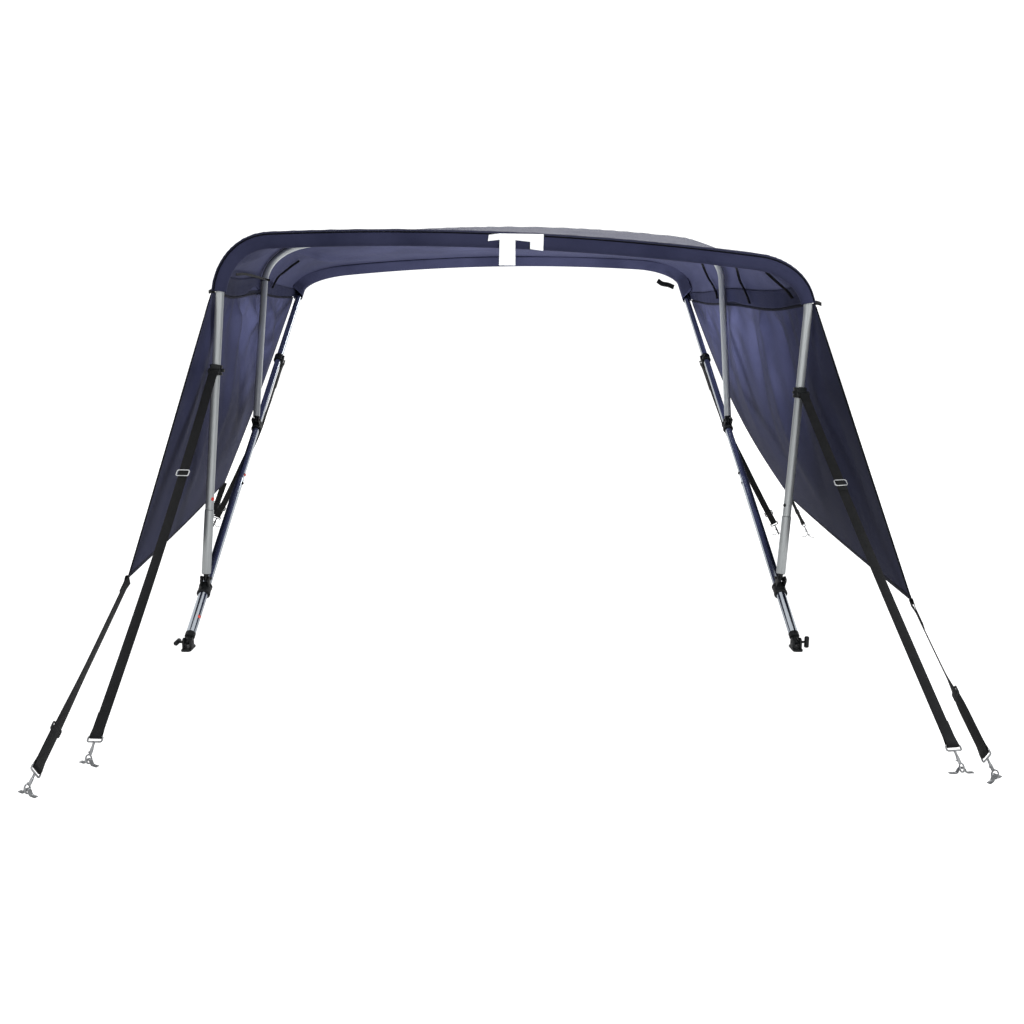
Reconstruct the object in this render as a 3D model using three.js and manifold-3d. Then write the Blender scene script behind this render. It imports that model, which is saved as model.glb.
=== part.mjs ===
// A three-bow bimini top with zip-on side walls, put up on its deck hinges and held by its straps.
// Millimetres, +Z up. The front bow is at low Y, the rear bow at high Y, and X runs from left to right.
// Places are first given from a point on the deck below the viewer, and the whole group is then
// shifted so that the middle of its footprint is the origin.
import * as THREE from 'three';
import { mergeVertices } from 'three/addons/utils/BufferGeometryUtils.js';
import Module from 'manifold-3d';

const wasm = await Module();
wasm.setup();

const footprintCentre = new THREE.Vector3(-53.7, 3319.6, 0);

// Stock sizes
const tube = { thin: 12.5, wide: 14, sides: 12 };
const webbing = { width: 26, thick: 1.6, layer: 1.3, turn: 4.4, flare: 23 };
const cloth = { thick: 2, sleeve: 17.5, hem: 52, hemGap: 3.4 };
const gap = 0.4;

// The bows. Each lies in a leaning plane through the line y, z of its leg ends; s is measured up that plane.
// feet and corners are the legs' X at their ends and at the corner bends, tops the s of the two ends of the
// crowned top, and edges the s of the cloth's lower edge. Left comes first in each pair.
const bows = {
  front: {
    y: 2872, z: 166, angle: 85.68, feet: [-957, 839], corners: [-880, 894],
    tops: [1034, 970], radius: 155, crown: 31, edges: [876, 840],
  },
  middle: {
    y: 3622, z: 582, angle: 66.87, feet: [-976, 824], corners: [-974, 826],
    tops: [727, 740], radius: 165, crown: 50, edges: [522, 475],
  },
  main: {
    y: 2680, z: 22, angle: 29.45, feet: [-959, 841], corners: [-992, 805],
    tops: [2385, 2446], radius: 195, crown: 60, edges: [2117, 2091],
  },
};

// Where things sit along the legs, as s of their bow
const mainSpots = { foot: 34, frontJaw: 214, joint: 767, middleJaw: 1087, eye: 1575 };
const frontSpots = { start: 14, joint: [215, 194], eye: [643, 574] };
const middleSpots = { start: 14 };

// Cloth, from the front bow to the rear one
const canopyGrid = { corner: 6, top: 10, span: 6, wrap: 7 };
const canopySag = { front: 16, rear: 14 };
// How much wider the sleeve hangs at the sides, left and right
const sleeveSlack = [7, 4];
const sleeveDroop = { front: 13, rear: 7 };
const edgeScallops = [
  { side: 0, span: 0, depth: 14, peak: 0.36 },
  { side: 0, span: 1, depth: 5, peak: 0.5 },
  { side: 1, span: 0, depth: 17, peak: 0.4 },
  { side: 1, span: 1, depth: 6, peak: 0.5 },
];
// Soft troughs and ridges in the canopy, from one place to another: across runs from 0 at the left edge to 1
// at the right edge, along from 0 at the front bow through 1 at the middle bow to 2 at the rear bow.
const canopyCreases = [
  { across: 0.20, along: 1.05, toAcross: 0.34, toAlong: 1.75, width: 45, depth: -12 },
  { across: 0.80, along: 1.05, toAcross: 0.68, toAlong: 1.70, width: 45, depth: -9 },
  { across: 0.10, along: 0.10, toAcross: 0.20, toAlong: 0.85, width: 40, depth: -9 },
  { across: 0.90, along: 0.12, toAcross: 0.80, toAlong: 0.85, width: 40, depth: -8 },
  { across: 0.14, along: 0.20, toAcross: 0.26, toAlong: 0.70, width: 35, depth: 7 },
];
// About how long the cloth is across, and from one bow to the next
const canopyFlat = { across: 2300, along: 950 };
const middleLift = { side: 22, top: 17 };
const band = { height: 60, inset: 4.6 };

// Side walls: the free corners, the sag of the free edges, and the folds that run down them.
// at is the place along the top edge, to the place along the bottom edge, both from front to rear.
const walls = [
  {
    name: 'left', side: 0,
    frontCorner: [-1020, 2440, 285], rearCorner: [-1335, 4350, 216],
    rearSag: [0, 0, -18], bottomSag: -8, belly: 26,
    folds: [
      { at: 0.10, to: 0.22, width: 0.05, depth: 13 },
      { at: 0.24, to: 0.37, width: 0.05, depth: -14 },
      { at: 0.38, to: 0.50, width: 0.06, depth: 12 },
      { at: 0.56, to: 0.66, width: 0.06, depth: -11 },
      { at: 0.78, to: 0.84, width: 0.06, depth: 9 },
    ],
  },
  {
    name: 'right', side: 1,
    frontCorner: [1010, 2310, 262], rearCorner: [1250, 4200, 176],
    rearSag: [-10, 0, -62], bottomSag: -6, belly: 22,
    folds: [
      { at: 0.14, to: 0.26, width: 0.05, depth: -10 },
      { at: 0.30, to: 0.42, width: 0.05, depth: 11 },
      { at: 0.46, to: 0.58, width: 0.06, depth: -9 },
      { at: 0.70, to: 0.78, width: 0.07, depth: 8 },
    ],
  },
];
const wallGrid = { down: 10, drop: 1.4 };
const puckers = { waves: 9, depth: 5, reach: 0.22 };
// How the straps' ends stand off the walls' free corners: outward, aft and up
const cornerStand = { front: [0, -4, -5.5], rear: [4, 3, -5] };
const patch = { leg: 120, thick: 1.2, lift: 2.2, inset: 6 };

// Straps. Each runs from a bar at one end to a bar at the other. twist turns the webbing's width about its
// run, in degrees from level, at each end, and turnOver gives the shares of the run between which it turns.
// double is how far the webbing comes back from each end, and sag how far its middle hangs.
const hookReach = 55;
const padAxis = 12.6;
const straps = [
  {
    name: 'front_left', pad: [-928, 1934], padTurn: -27,
    twist: [0, 0], turnOver: [0, 1], double: [400, 60], sag: 22,
  },
  {
    name: 'front_right', pad: [967, 1893], padTurn: 4,
    twist: [0, 0], turnOver: [0, 1], double: [395, 60], sag: 8,
  },
  {
    name: 'rear_left', pad: [-1403, 4371], padTurn: 10,
    twist: [75, 0], turnOver: [0.2, 0.5], double: [120, 60], sag: 50,
  },
  {
    name: 'rear_right', pad: [1206, 4202], padTurn: -14,
    twist: [-75, 0], turnOver: [0.2, 0.5], double: [120, 60], sag: 50,
  },
  {
    name: 'wall_front_left', pad: [-995, 1799], padTurn: -29,
    twist: [-86, -104], turnOver: [0.5, 0.9], double: [60, 110], sag: 2,
  },
  {
    name: 'wall_front_right', pad: [1023, 1862], padTurn: 40,
    twist: [63, 101], turnOver: [0.5, 0.75], double: [80, 165], sag: 2,
  },
  {
    name: 'wall_rear_left', pad: [-1440, 4444], padTurn: 35,
    twist: [12, 12], turnOver: [0, 1], double: [60, 60], sag: 1,
  },
  {
    name: 'wall_rear_right', pad: [1330, 4160], padTurn: -12,
    twist: [-84, -84], turnOver: [0, 1], double: [60, 60], sag: 1,
  },
];
// The rear straps hang slack: the share of their sag at each share of the run. The others hang in a bow.
const slack = [
  { at: 0, sag: 0 }, { at: 0.05, sag: 0.16 }, { at: 0.12, sag: 0.5 }, { at: 0.2, sag: 0.82 },
  { at: 0.3, sag: 1 }, { at: 0.42, sag: 0.84 }, { at: 0.56, sag: 0.64 }, { at: 0.7, sag: 0.5 },
  { at: 0.86, sag: 0.28 }, { at: 1, sag: 0 },
];
const strapStations = 25;
const strapSpacing = { rear: 50, front: 160, wall: 80 };
// Where along its run a strap has taken the direction in which its slide's loop is pulled
const pullShare = { rear: 0.05, front: 0.12 };
const frontBuckleAt = { front_left: 0.322, front_right: 0.31 };

// Roll-up ties and a strap tail that show under the canopy, as points of their run. upright ones stand on
// their edge, and the others lie flat to the front.
const ties = [
  {
    name: 'tie_left_front', width: 9, upright: true,
    run: [
      [-905, 3209, 1102], [-917, 3342, 1110], [-940, 3531, 1114],
      [-958, 3700, 1114], [-963, 3822, 1112], [-948, 3828, 1108],
    ],
  },
  {
    name: 'tie_left_rear', width: 9, upright: false,
    run: [
      [-903, 4165, 1203], [-941, 4172, 1179], [-967, 4143, 1153],
      [-979, 4103, 1135], [-986, 4068, 1111], [-985, 4012, 1085],
    ],
  },
  {
    name: 'tie_right_front', width: 9, upright: false,
    run: [
      [839, 3231, 1111], [852, 3200, 1091], [868, 3155, 1066],
      [876, 3104, 1046], [886, 3074, 1023],
    ],
  },
  {
    name: 'tie_right_middle', width: 9, upright: false,
    run: [
      [820, 3593, 1150], [838, 3640, 1134], [850, 3646, 1101],
      [854, 3599, 1072], [854, 3544, 1045], [856, 3501, 1014],
    ],
  },
  {
    name: 'tie_right_rear', width: 9, upright: false,
    run: [
      [798, 4120, 1190], [812, 4140, 1169], [827, 4119, 1130],
      [832, 4047, 1098], [832, 3979, 1068], [832, 3945, 1041],
    ],
  },
  {
    name: 'tail_rear_right', width: 22, upright: true,
    run: [[766, 4618, 1108], [738, 4604, 1118], [706, 4596, 1124], [684, 4592, 1138]],
  },
];

const tieThick = 1.5;

// The label's outline, from its left end at the top of the sleeve
const label = {
  x: 10, rise: 4, thick: 0.8, stand: 1.3,
  outline: [
    [-69, 4], [-37, 8], [94, 6], [93, -42], [54, -37], [54, -16], [10, -11], [10, -84], [-39, -84],
    [-37, -10], [-72, -14],
  ],
};
// Fittings. half is half a length along the leg, wall a ring's thickness, over what a part adds to the tube.
const jawSize = {
  half: 19, wall: 5.5, cheek: 6, cheekWide: 24, apart: 11, tip: 14, lift: 5,
  pin: 5, pinHalf: 18, eye: 7.5, eyeBelow: 9, eyeAbove: 12, bore: 40,
};
const hingeSize = {
  base: [30, 56, 6], cheek: [6, 26, 20], cheekAt: 14, apart: 11,
  boss: 13, bossFrom: 8, bossTo: 14, hole: 4.4, holeHalf: 40,
};
const eyeEndSize = {
  shank: 7, plugFrom: 20, over: 1, pin: 3.6, pinIn: 15, pinOut: 34, knobAt: 31, knobHalf: 17, knob: 7,
};
const slideSize = {
  half: 14, wall: 4.5, neck: 4, neckFrom: 1.5, neckShort: 7, loopHigh: 18, loopThick: 4, bar: 7.25, bore: 30,
};
const padProfile = [
  [-27, 1], [-12, 1], [-9, 4], [-7.5, 9], [-4, padAxis], [4, padAxis], [7.5, 9], [9, 4], [12, 1], [27, 1],
];
const padStrip = { width: 9, thick: 2 };
const hookSize = {
  ring: 9.3, rod: 1.8, stem: 3.6, stemTip: 2.6, stemFrom: 9, stemShort: 15,
  loopHigh: 16, loopThick: 4, loopShort: 8, bar: 6.25,
};
const buckleSize = {
  over: 11, high: 24, cut: 4, windowOver: 4, windowHigh: 17, windowCut: 1, thick: 3, stand: 1.4,
};

const finish = {
  cloth: { color: 0x2b2d47, roughness: 0.9, metalness: 0 },
  clothDark: { color: 0x202238, roughness: 0.9, metalness: 0 },
  webbing: { color: 0x17191b, roughness: 0.85, metalness: 0 },
  tube: { color: 0xb4b8ba, roughness: 0.3, metalness: 1 },
  tubeWide: { color: 0xc4c8ca, roughness: 0.2, metalness: 1 },
  fitting: { color: 0x101112, roughness: 0.5, metalness: 0 },
  steel: { color: 0xc8cacc, roughness: 0.25, metalness: 1 },
  label: { color: 0xf0f0f0, roughness: 0.8, metalness: 0 },
};

const group = new THREE.Group();
group.position.set(-footprintCentre.x, -footprintCentre.y, 0);

const vec = (x, y, z) => new THREE.Vector3(x, y, z);
const radians = THREE.MathUtils.degToRad;
const lerp = THREE.MathUtils.lerp;
const up = vec(0, 0, 1);
const aft = vec(0, 1, 0);
const right = vec(1, 0, 0);

function along(point, direction, distance) {
  return point.clone().addScaledVector(direction, distance);
}

// The part of a vector that is square to a unit axis, made a unit vector
function squareTo(vector, axis) {
  return vector.clone().addScaledVector(axis, -vector.dot(axis)).normalize();
}

function addMesh(name, geometry, look) {
  const mesh = new THREE.Mesh(geometry, new THREE.MeshStandardMaterial(look));
  mesh.name = name;
  group.add(mesh);
}

// A closed surface from points and triangles, turned inside out if its volume comes out negative
function closedSurface(points, triangles) {
  let volume = 0;
  for (const [a, b, c] of triangles) {
    volume += points[a].dot(points[b].clone().cross(points[c]));
  }
  const faces = volume < 0 ? triangles.map(([a, b, c]) => [a, c, b]) : triangles;
  const geometry = new THREE.BufferGeometry();
  geometry.setFromPoints(points);
  geometry.setIndex(faces.flat());
  geometry.computeVertexNormals();
  return geometry;
}

// A section carried along rings: rings is a list of equal lists of points, closed round and capped.
// alike splits the second half of the section's sides along the same diagonal as the first half, so that
// the two faces of a thin twisted strip stay apart.
function skinRings(rings, alike = false) {
  const count = rings[0].length;
  const triangles = [];
  for (let i = 0; i + 1 < rings.length; i += 1) {
    for (let j = 0; j < count; j += 1) {
      const a = i * count + j;
      const b = i * count + (j + 1) % count;
      const [c, d] = [a + count, b + count];
      if (alike && j >= count / 2) {
        triangles.push([a, b, c], [b, d, c]);
      } else {
        triangles.push([a, b, d], [a, d, c]);
      }
    }
  }
  const last = (rings.length - 1) * count;
  for (let j = 1; j + 1 < count; j += 1) {
    triangles.push([0, j + 1, j], [last, last + j, last + j + 1]);
  }
  return closedSurface(rings.flat(), triangles);
}

function tangents(points) {
  return points.map((_, i) => {
    const before = points[Math.max(i - 1, 0)];
    const after = points[Math.min(i + 1, points.length - 1)];
    return after.clone().sub(before).normalize();
  });
}

// A round bar whose rings hold the plane normal, for a bend that stays in one plane
function planarTube(points, normal, radius) {
  const directions = tangents(points);
  const rings = points.map((point, i) => {
    const side = normal.clone().cross(directions[i]).normalize();
    const ring = [];
    for (let k = 0; k < tube.sides; k += 1) {
      const angle = 2 * Math.PI * k / tube.sides;
      const spoke = side.clone().multiplyScalar(radius * Math.cos(angle));
      ring.push(point.clone().add(spoke).addScaledVector(normal, radius * Math.sin(angle)));
    }
    return ring;
  });
  return skinRings(rings);
}

// A flat strip along points, with the direction of its width at each point
function ribbon(points, widths, width, thick) {
  const directions = tangents(points);
  const rings = points.map((point, i) => {
    const across = squareTo(widths[i], directions[i]);
    const normal = directions[i].clone().cross(across);
    return [[-1, -1], [1, -1], [1, 1], [-1, 1]].map(([u, v]) => {
      return along(along(point, across, u * width / 2), normal, v * thick / 2);
    });
  });
  return skinRings(rings, true);
}

// Unit normals of a grid of points
function gridNormals(rows) {
  return rows.map((row, i) => row.map((_, j) => {
    const before = rows[Math.max(i - 1, 0)][j];
    const after = rows[Math.min(i + 1, rows.length - 1)][j];
    const low = row[Math.max(j - 1, 0)];
    const high = row[Math.min(j + 1, row.length - 1)];
    return after.clone().sub(before).cross(high.clone().sub(low)).normalize();
  }));
}

// Cloth: a grid of points given an even thickness, closed at its rim
function sheet(rows, thick) {
  const normals = gridNormals(rows);
  const wide = rows[0].length;
  const total = rows.length * wide;
  const points = [];
  for (const side of [0.5, -0.5]) {
    rows.forEach((row, i) => row.forEach((p, j) => {
      points.push(along(p, normals[i][j], side * thick));
    }));
  }
  const triangles = [];
  for (let i = 0; i + 1 < rows.length; i += 1) {
    for (let j = 0; j + 1 < wide; j += 1) {
      const a = i * wide + j;
      triangles.push([a, a + wide, a + wide + 1], [a, a + wide + 1, a + 1]);
      const b = a + total;
      triangles.push([b, b + wide + 1, b + wide], [b, b + 1, b + wide + 1]);
    }
  }
  const rim = [];
  for (let j = 0; j < wide; j += 1) rim.push(j);
  for (let i = 1; i < rows.length; i += 1) rim.push(i * wide + wide - 1);
  for (let j = wide - 2; j >= 0; j -= 1) rim.push((rows.length - 1) * wide + j);
  for (let i = rows.length - 2; i > 0; i -= 1) rim.push(i * wide);
  rim.forEach((a, k) => {
    const b = rim[(k + 1) % rim.length];
    triangles.push([a, b, b + total], [a, b + total, a + total]);
  });
  return closedSurface(points, triangles);
}

function toSolid(geometry) {
  const bare = geometry.clone();
  bare.deleteAttribute('normal');
  bare.deleteAttribute('uv');
  const merged = mergeVertices(bare, 1e-4);
  return new wasm.Manifold(new wasm.Mesh({
    numProp: 3,
    vertProperties: Float32Array.from(merged.attributes.position.array),
    triVerts: Uint32Array.from(merged.index.array),
  }));
}

function fromSolid(solid) {
  const mesh = solid.getMesh();
  const geometry = new THREE.BufferGeometry();
  geometry.setAttribute('position', new THREE.BufferAttribute(Float32Array.from(mesh.vertProperties), 3));
  geometry.setIndex(Array.from(mesh.triVerts));
  geometry.computeVertexNormals();
  return geometry;
}

function joined(geometries) {
  const solids = geometries.map(toSolid);
  return solids.slice(1).reduce((whole, next) => whole.add(next), solids[0]);
}

// A frame of axes: x across, y in the middle, z along, square to each other
function axes(zAxis, xHint) {
  const z = zAxis.clone().normalize();
  const x = squareTo(xHint, z);
  return new THREE.Matrix4().makeBasis(x, z.clone().cross(x), z);
}

function placed(geometry, frame, at) {
  return geometry.applyMatrix4(frame).translate(at.x, at.y, at.z);
}

function bar(from, to, radius, sides = 12, endRadius = radius) {
  const run = to.clone().sub(from);
  const cylinder = new THREE.CylinderGeometry(endRadius, radius, run.length(), sides);
  cylinder.rotateX(Math.PI / 2);
  const hint = Math.abs(run.clone().normalize().x) > 0.9 ? up : right;
  return placed(cylinder, axes(run, hint), from.clone().add(to).multiplyScalar(0.5));
}

function block(size, frame, at) {
  return placed(new THREE.BoxGeometry(...size), frame, at);
}

// A flat outline, given as [x, y] pairs in a frame's x and y, made thick along its z, with holes
function plate(outline, holes, thick, frame, at) {
  const shape = new THREE.Shape(outline.map(([x, y]) => new THREE.Vector2(x, y)));
  for (const hole of holes) {
    shape.holes.push(new THREE.Path(hole.map(([x, y]) => new THREE.Vector2(x, y))));
  }
  const solid = new THREE.ExtrudeGeometry(shape, { depth: thick, bevelEnabled: false });
  solid.translate(0, 0, -thick / 2);
  return placed(solid, frame, at);
}

function cutRectangle(wide, high, cut) {
  const [x, y] = [wide / 2, high / 2];
  return [
    [x - cut, -y], [x, cut - y], [x, y - cut], [x - cut, y],
    [cut - x, y], [-x, y - cut], [-x, cut - y], [cut - x, -y],
  ];
}

// The ring that webbing is looped through: a frame with x across the webbing and y along it
function webbingRing(frame, at, high, thick) {
  const outer = cutRectangle(webbing.width + 9, high, 3);
  const inner = cutRectangle(webbing.width + 2, high - 7, 1);
  return plate(outer, [inner], thick, frame, at);
}

// The handle of a cubic curve that follows a quarter circle, as a share of the radius
const roundHandle = 0.5523;

// A bow's own plane
function planeOf(bow) {
  const angle = radians(bow.angle);
  const climb = vec(0, Math.cos(angle), Math.sin(angle));
  return { climb, normal: right.clone().cross(climb) };
}

function inPlane(bow, x, s) {
  return along(vec(x, bow.y, bow.z), planeOf(bow).climb, s);
}

// A leg's point at distance s, on its straight line through its end and its corner bend
function legPoint(bow, side, s) {
  const bend = bow.tops[side] - bow.radius;
  const x = lerp(bow.feet[side], bow.corners[side], s / bend);
  return inPlane(bow, x, s);
}

// The bent part of a bow, from the left corner over the crowned top to the right corner
function archPoints(bow) {
  const bends = bow.tops.map((s) => s - bow.radius);
  const inner = [bow.corners[0] + bow.radius, bow.corners[1] - bow.radius];
  const starts = [0, 1].map((side) => legPoint(bow, side, bends[side]));
  const ends = [0, 1].map((side) => inPlane(bow, inner[side], bow.tops[side]));
  const middle = inPlane(bow, (inner[0] + inner[1]) / 2, (bow.tops[0] + bow.tops[1]) / 2 + 2 * bow.crown);
  const handle = roundHandle * bow.radius;
  const corner = (side) => {
    const rise = starts[side].clone().sub(legPoint(bow, side, 0)).normalize();
    const run = middle.clone().sub(ends[side]).normalize();
    return new THREE.CubicBezierCurve3(
      starts[side], along(starts[side], rise, handle), along(ends[side], run, -handle), ends[side],
    );
  };
  const top = new THREE.QuadraticBezierCurve3(ends[0], middle, ends[1]);
  return [
    ...corner(0).getPoints(canopyGrid.corner),
    ...top.getPoints(canopyGrid.top).slice(1),
    ...corner(1).getPoints(canopyGrid.corner).reverse().slice(1),
  ];
}

function legDirection(bow, side) {
  return legPoint(bow, side, 100).sub(legPoint(bow, side, 0)).normalize();
}

function buildBows() {
  for (const [name, bow] of Object.entries(bows)) {
    const { normal } = planeOf(bow);
    const joints = { front: frontSpots.joint, main: [mainSpots.joint, mainSpots.joint] }[name];
    const starts = joints ?? [middleSpots.start, middleSpots.start];
    const path = [
      legPoint(bow, 0, starts[0] + gap), ...archPoints(bow), legPoint(bow, 1, starts[1] + gap),
    ];
    addMesh(`${name}_bow`, planarTube(path, normal, tube.thin), finish.tube);
    if (!joints) continue;
    for (const side of [0, 1]) {
      const start = name === 'front' ? frontSpots.start : mainSpots.foot;
      const lower = bar(legPoint(bow, side, start), legPoint(bow, side, joints[side]), tube.wide, tube.sides);
      addMesh(`${name}_leg_${['left', 'right'][side]}`, lower, finish.tubeWide);
    }
  }
}

// A bore with as many flats as the tube, which clears it by the gap
function boreFor(radius) {
  return (radius + gap) / Math.cos(Math.PI / tube.sides);
}

// A jaw slide: a ring on the main leg, and a fork that holds the eye end of another bow's leg
function jaw(side, s, pivot, legBow, tubeRadius) {
  const size = jawSize;
  const run = legDirection(bows.main, side);
  const centre = legPoint(bows.main, side, s);
  const ends = (line, half, middle = centre) => [along(middle, line, -half), along(middle, line, half)];
  const stand = squareTo(pivot.clone().sub(centre), run);
  const pinAxis = run.clone().cross(stand).normalize();
  const reach = pivot.clone().sub(centre).dot(stand);
  const lean = pivot.clone().sub(centre).dot(run);
  const frame = axes(run, pinAxis);
  const parts = [bar(...ends(run, size.half), tubeRadius + size.wall, tube.sides)];
  const cheekAt = along(along(centre, stand, reach / 2 + size.lift), run, lean / 2);
  for (const half of [-1, 1]) {
    const cheek = [size.cheek, reach + size.tip, size.cheekWide];
    parts.push(block(cheek, frame, along(cheekAt, pinAxis, half * size.apart)));
  }
  parts.push(bar(...ends(pinAxis, size.pinHalf, pivot), size.pin, 8));
  const legRun = legDirection(legBow, side);
  parts.push(bar(along(pivot, legRun, -size.eyeBelow), along(pivot, legRun, size.eyeAbove), size.eye, 8));
  const bore = bar(...ends(run, size.bore), boreFor(tubeRadius), tube.sides);
  return joined(parts).subtract(toSolid(bore));
}

function buildJaws() {
  for (const side of [0, 1]) {
    const hand = ['left', 'right'][side];
    const frontPivot = legPoint(bows.front, side, 0);
    const middlePivot = legPoint(bows.middle, side, 0);
    const lower = jaw(side, mainSpots.frontJaw, frontPivot, bows.front, tube.wide);
    const upper = jaw(side, mainSpots.middleJaw, middlePivot, bows.middle, tube.thin);
    addMesh(`front_jaw_${hand}`, fromSolid(lower), finish.fitting);
    addMesh(`middle_jaw_${hand}`, fromSolid(upper), finish.fitting);
  }
}

// A point beside another, out to the left or right and up or down from it
function beside(point, x, z = 0) {
  return vec(point.x + x, point.y, point.z + z);
}

// A deck hinge: base plate and two cheeks, flat underneath
function deckHinge(pin) {
  const size = hingeSize;
  const square = new THREE.Matrix4();
  const parts = [block(size.base, square, vec(pin.x, pin.y, size.base[2] / 2))];
  for (const half of [-1, 1]) {
    parts.push(block(size.cheek, square, vec(pin.x + half * size.apart, pin.y, size.cheekAt)));
    parts.push(bar(beside(pin, half * size.bossFrom), beside(pin, half * size.bossTo), size.boss, 12));
  }
  const hole = bar(beside(pin, -size.holeHalf), beside(pin, size.holeHalf), size.hole, 8);
  return joined(parts).subtract(toSolid(hole));
}

// The main leg's end: a shank on the hinge's pin, a plug on the tube, and the pin with its cross knob
function eyeEnd(side, pin) {
  const size = eyeEndSize;
  const outward = side === 0 ? -1 : 1;
  const run = legDirection(bows.main, side);
  const knobAt = beside(pin, outward * size.knobAt);
  const knobRun = side === 0 ? aft : up;
  const top = along(pin, run, mainSpots.foot - gap);
  return joined([
    bar(pin, top, size.shank, 8),
    bar(along(pin, run, size.plugFrom), top, tube.wide + size.over, tube.sides),
    bar(beside(pin, -outward * size.pinIn), beside(pin, outward * size.pinOut), size.pin, 8),
    bar(along(knobAt, knobRun, -size.knobHalf), along(knobAt, knobRun, size.knobHalf), size.knob, 8),
  ]);
}

function buildFeet() {
  for (const side of [0, 1]) {
    const hand = ['left', 'right'][side];
    const pin = legPoint(bows.main, side, 0);
    addMesh(`deck_hinge_${hand}`, fromSolid(deckHinge(pin)), finish.fitting);
    addMesh(`eye_end_${hand}`, fromSolid(eyeEnd(side, pin)), finish.fitting);
  }
}

// An eye slide: a ring on a leg with a lug on one side and a loop for webbing, whose bar centre is returned
function eyeSlide(name, centre, run, toward, pull, across, reach) {
  const size = slideSize;
  const radius = tube.thin;
  const stand = squareTo(toward, run);
  const ends = (half) => [along(centre, run, -half), along(centre, run, half)];
  const ring = bar(...ends(size.half), radius + size.wall, tube.sides);
  const loopAt = along(along(centre, stand, radius + reach[0]), pull, reach[1]);
  const neckFrom = along(centre, stand, radius + size.neckFrom);
  const neck = bar(neckFrom, along(loopAt, pull, -size.neckShort), size.neck, 8);
  const loop = webbingRing(axes(pull.clone().cross(across), across), loopAt, size.loopHigh, size.loopThick);
  const bore = bar(...ends(size.bore), boreFor(radius), tube.sides);
  addMesh(name, fromSolid(joined([ring, neck, loop]).subtract(toSolid(bore))), finish.fitting);
  return along(loopAt, pull, size.bar);
}

// A pad eye on the deck: two flat feet and an arch, along a level direction
function padEye(name, at, turn) {
  const length = vec(Math.cos(radians(turn)), Math.sin(radians(turn)), 0);
  const width = up.clone().cross(length);
  const points = padProfile.map(([d, z]) => along(vec(at[0], at[1], z), length, d));
  const strip = ribbon(points, points.map(() => width), padStrip.width, padStrip.thick);
  addMesh(name, strip, finish.steel);
  return length;
}

// A snap hook: a ring through the pad eye's arch, a stem, and the loop for the webbing, whose bar centre
// is returned
function snapHook(name, pad, padLength, pull, across) {
  const size = hookSize;
  const ringCentre = vec(pad[0], pad[1], padAxis);
  const ringFrame = axes(squareTo(padLength, pull), up);
  const ring = placed(new THREE.TorusGeometry(size.ring, size.rod, 4, 10), ringFrame, ringCentre);
  const stemTop = along(ringCentre, pull, hookReach - size.stemShort);
  const stem = bar(along(ringCentre, pull, size.stemFrom), stemTop, size.stem, 6, size.stemTip);
  const loopAt = along(ringCentre, pull, hookReach - size.loopShort);
  const loop = webbingRing(axes(pull.clone().cross(across), across), loopAt, size.loopHigh, size.loopThick);
  addMesh(name, fromSolid(joined([ring, stem, loop])), finish.steel);
  return along(loopAt, pull, size.bar);
}

// The strip's path: round the bar at its start, down to the bar at its end, round it and back
function strapPath(run, widths, double, spacing) {
  const directions = tangents(run);
  const normals = directions.map((d, i) => d.clone().cross(squareTo(widths[i], d)));
  const lengths = [0];
  run.slice(1).forEach((p, i) => lengths.push(lengths[i] + p.distanceTo(run[i])));
  const total = lengths.at(-1);
  const at = (distance, offset) => {
    let i = 0;
    while (i + 2 < run.length && lengths[i + 1] < distance) i += 1;
    const t = (distance - lengths[i]) / (lengths[i + 1] - lengths[i]);
    const point = run[i].clone().lerp(run[i + 1], t);
    const normal = normals[i].clone().lerp(normals[i + 1], t).normalize();
    const width = widths[i].clone().lerp(widths[i + 1], t);
    return { point: along(point, normal, offset), width };
  };
  const turn = (distance, sign, from) => {
    const middle = at(distance, 0);
    const i = distance > 0 ? run.length - 1 : 0;
    return [0.25, 0.5, 0.75].map((share) => {
      const angle = Math.PI * share;
      const out = along(middle.point, directions[i], sign * webbing.turn * Math.sin(angle));
      return { point: along(out, normals[i], from * webbing.turn * Math.cos(angle)), width: middle.width };
    });
  };
  const { layer, turn: wide, flare } = webbing;
  const path = [];
  if (double[0] > 0) {
    path.push(at(double[0], layer), at(double[0] / 2, layer), at(flare, layer), at(0, wide));
    path.push(...turn(0, -1, 1), at(0, -wide));
  } else {
    path.push(at(0, -layer));
  }
  const steps = Math.max(3, Math.round(total / spacing));
  for (let k = 0; k <= steps; k += 1) path.push(at(lerp(flare, total - flare, k / steps), -layer));
  path.push(at(total, -wide), ...turn(total, 1, -1));
  path.push(at(total, wide), at(total - flare, layer), at(total - double[1], layer));
  return path;
}

function levelAcross(pull) {
  return squareTo(right, pull);
}

function turnedAcross(pull, degrees) {
  return levelAcross(pull).applyAxisAngle(pull, radians(degrees));
}

// A ring buckle on a strap's face
function buckle(name, point, pull, across) {
  const size = buckleSize;
  const normal = across.clone().cross(pull);
  const facing = normal.y > 0 ? normal.negate() : normal;
  const at = along(point, facing, webbing.layer + webbing.thick / 2 + size.stand + size.thick / 2);
  const frame = axes(pull.clone().cross(across), across);
  const outer = cutRectangle(webbing.width + size.over, size.high, size.cut);
  const inner = cutRectangle(webbing.width + size.windowOver, size.windowHigh, size.windowCut);
  addMesh(name, plate(outer, [inner], size.thick, frame, at), finish.steel);
}

// How far a strap hangs at a share of its run, as a share of its sag
function hangShare(row, share) {
  if (!row.name.startsWith('rear')) return Math.sin(Math.PI * share);
  const next = Math.max(1, slack.findIndex((station) => station.at >= share));
  const [from, to] = [slack[next - 1], slack[next]];
  return lerp(from.sag, to.sag, (share - from.at) / (to.at - from.at));
}

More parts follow.
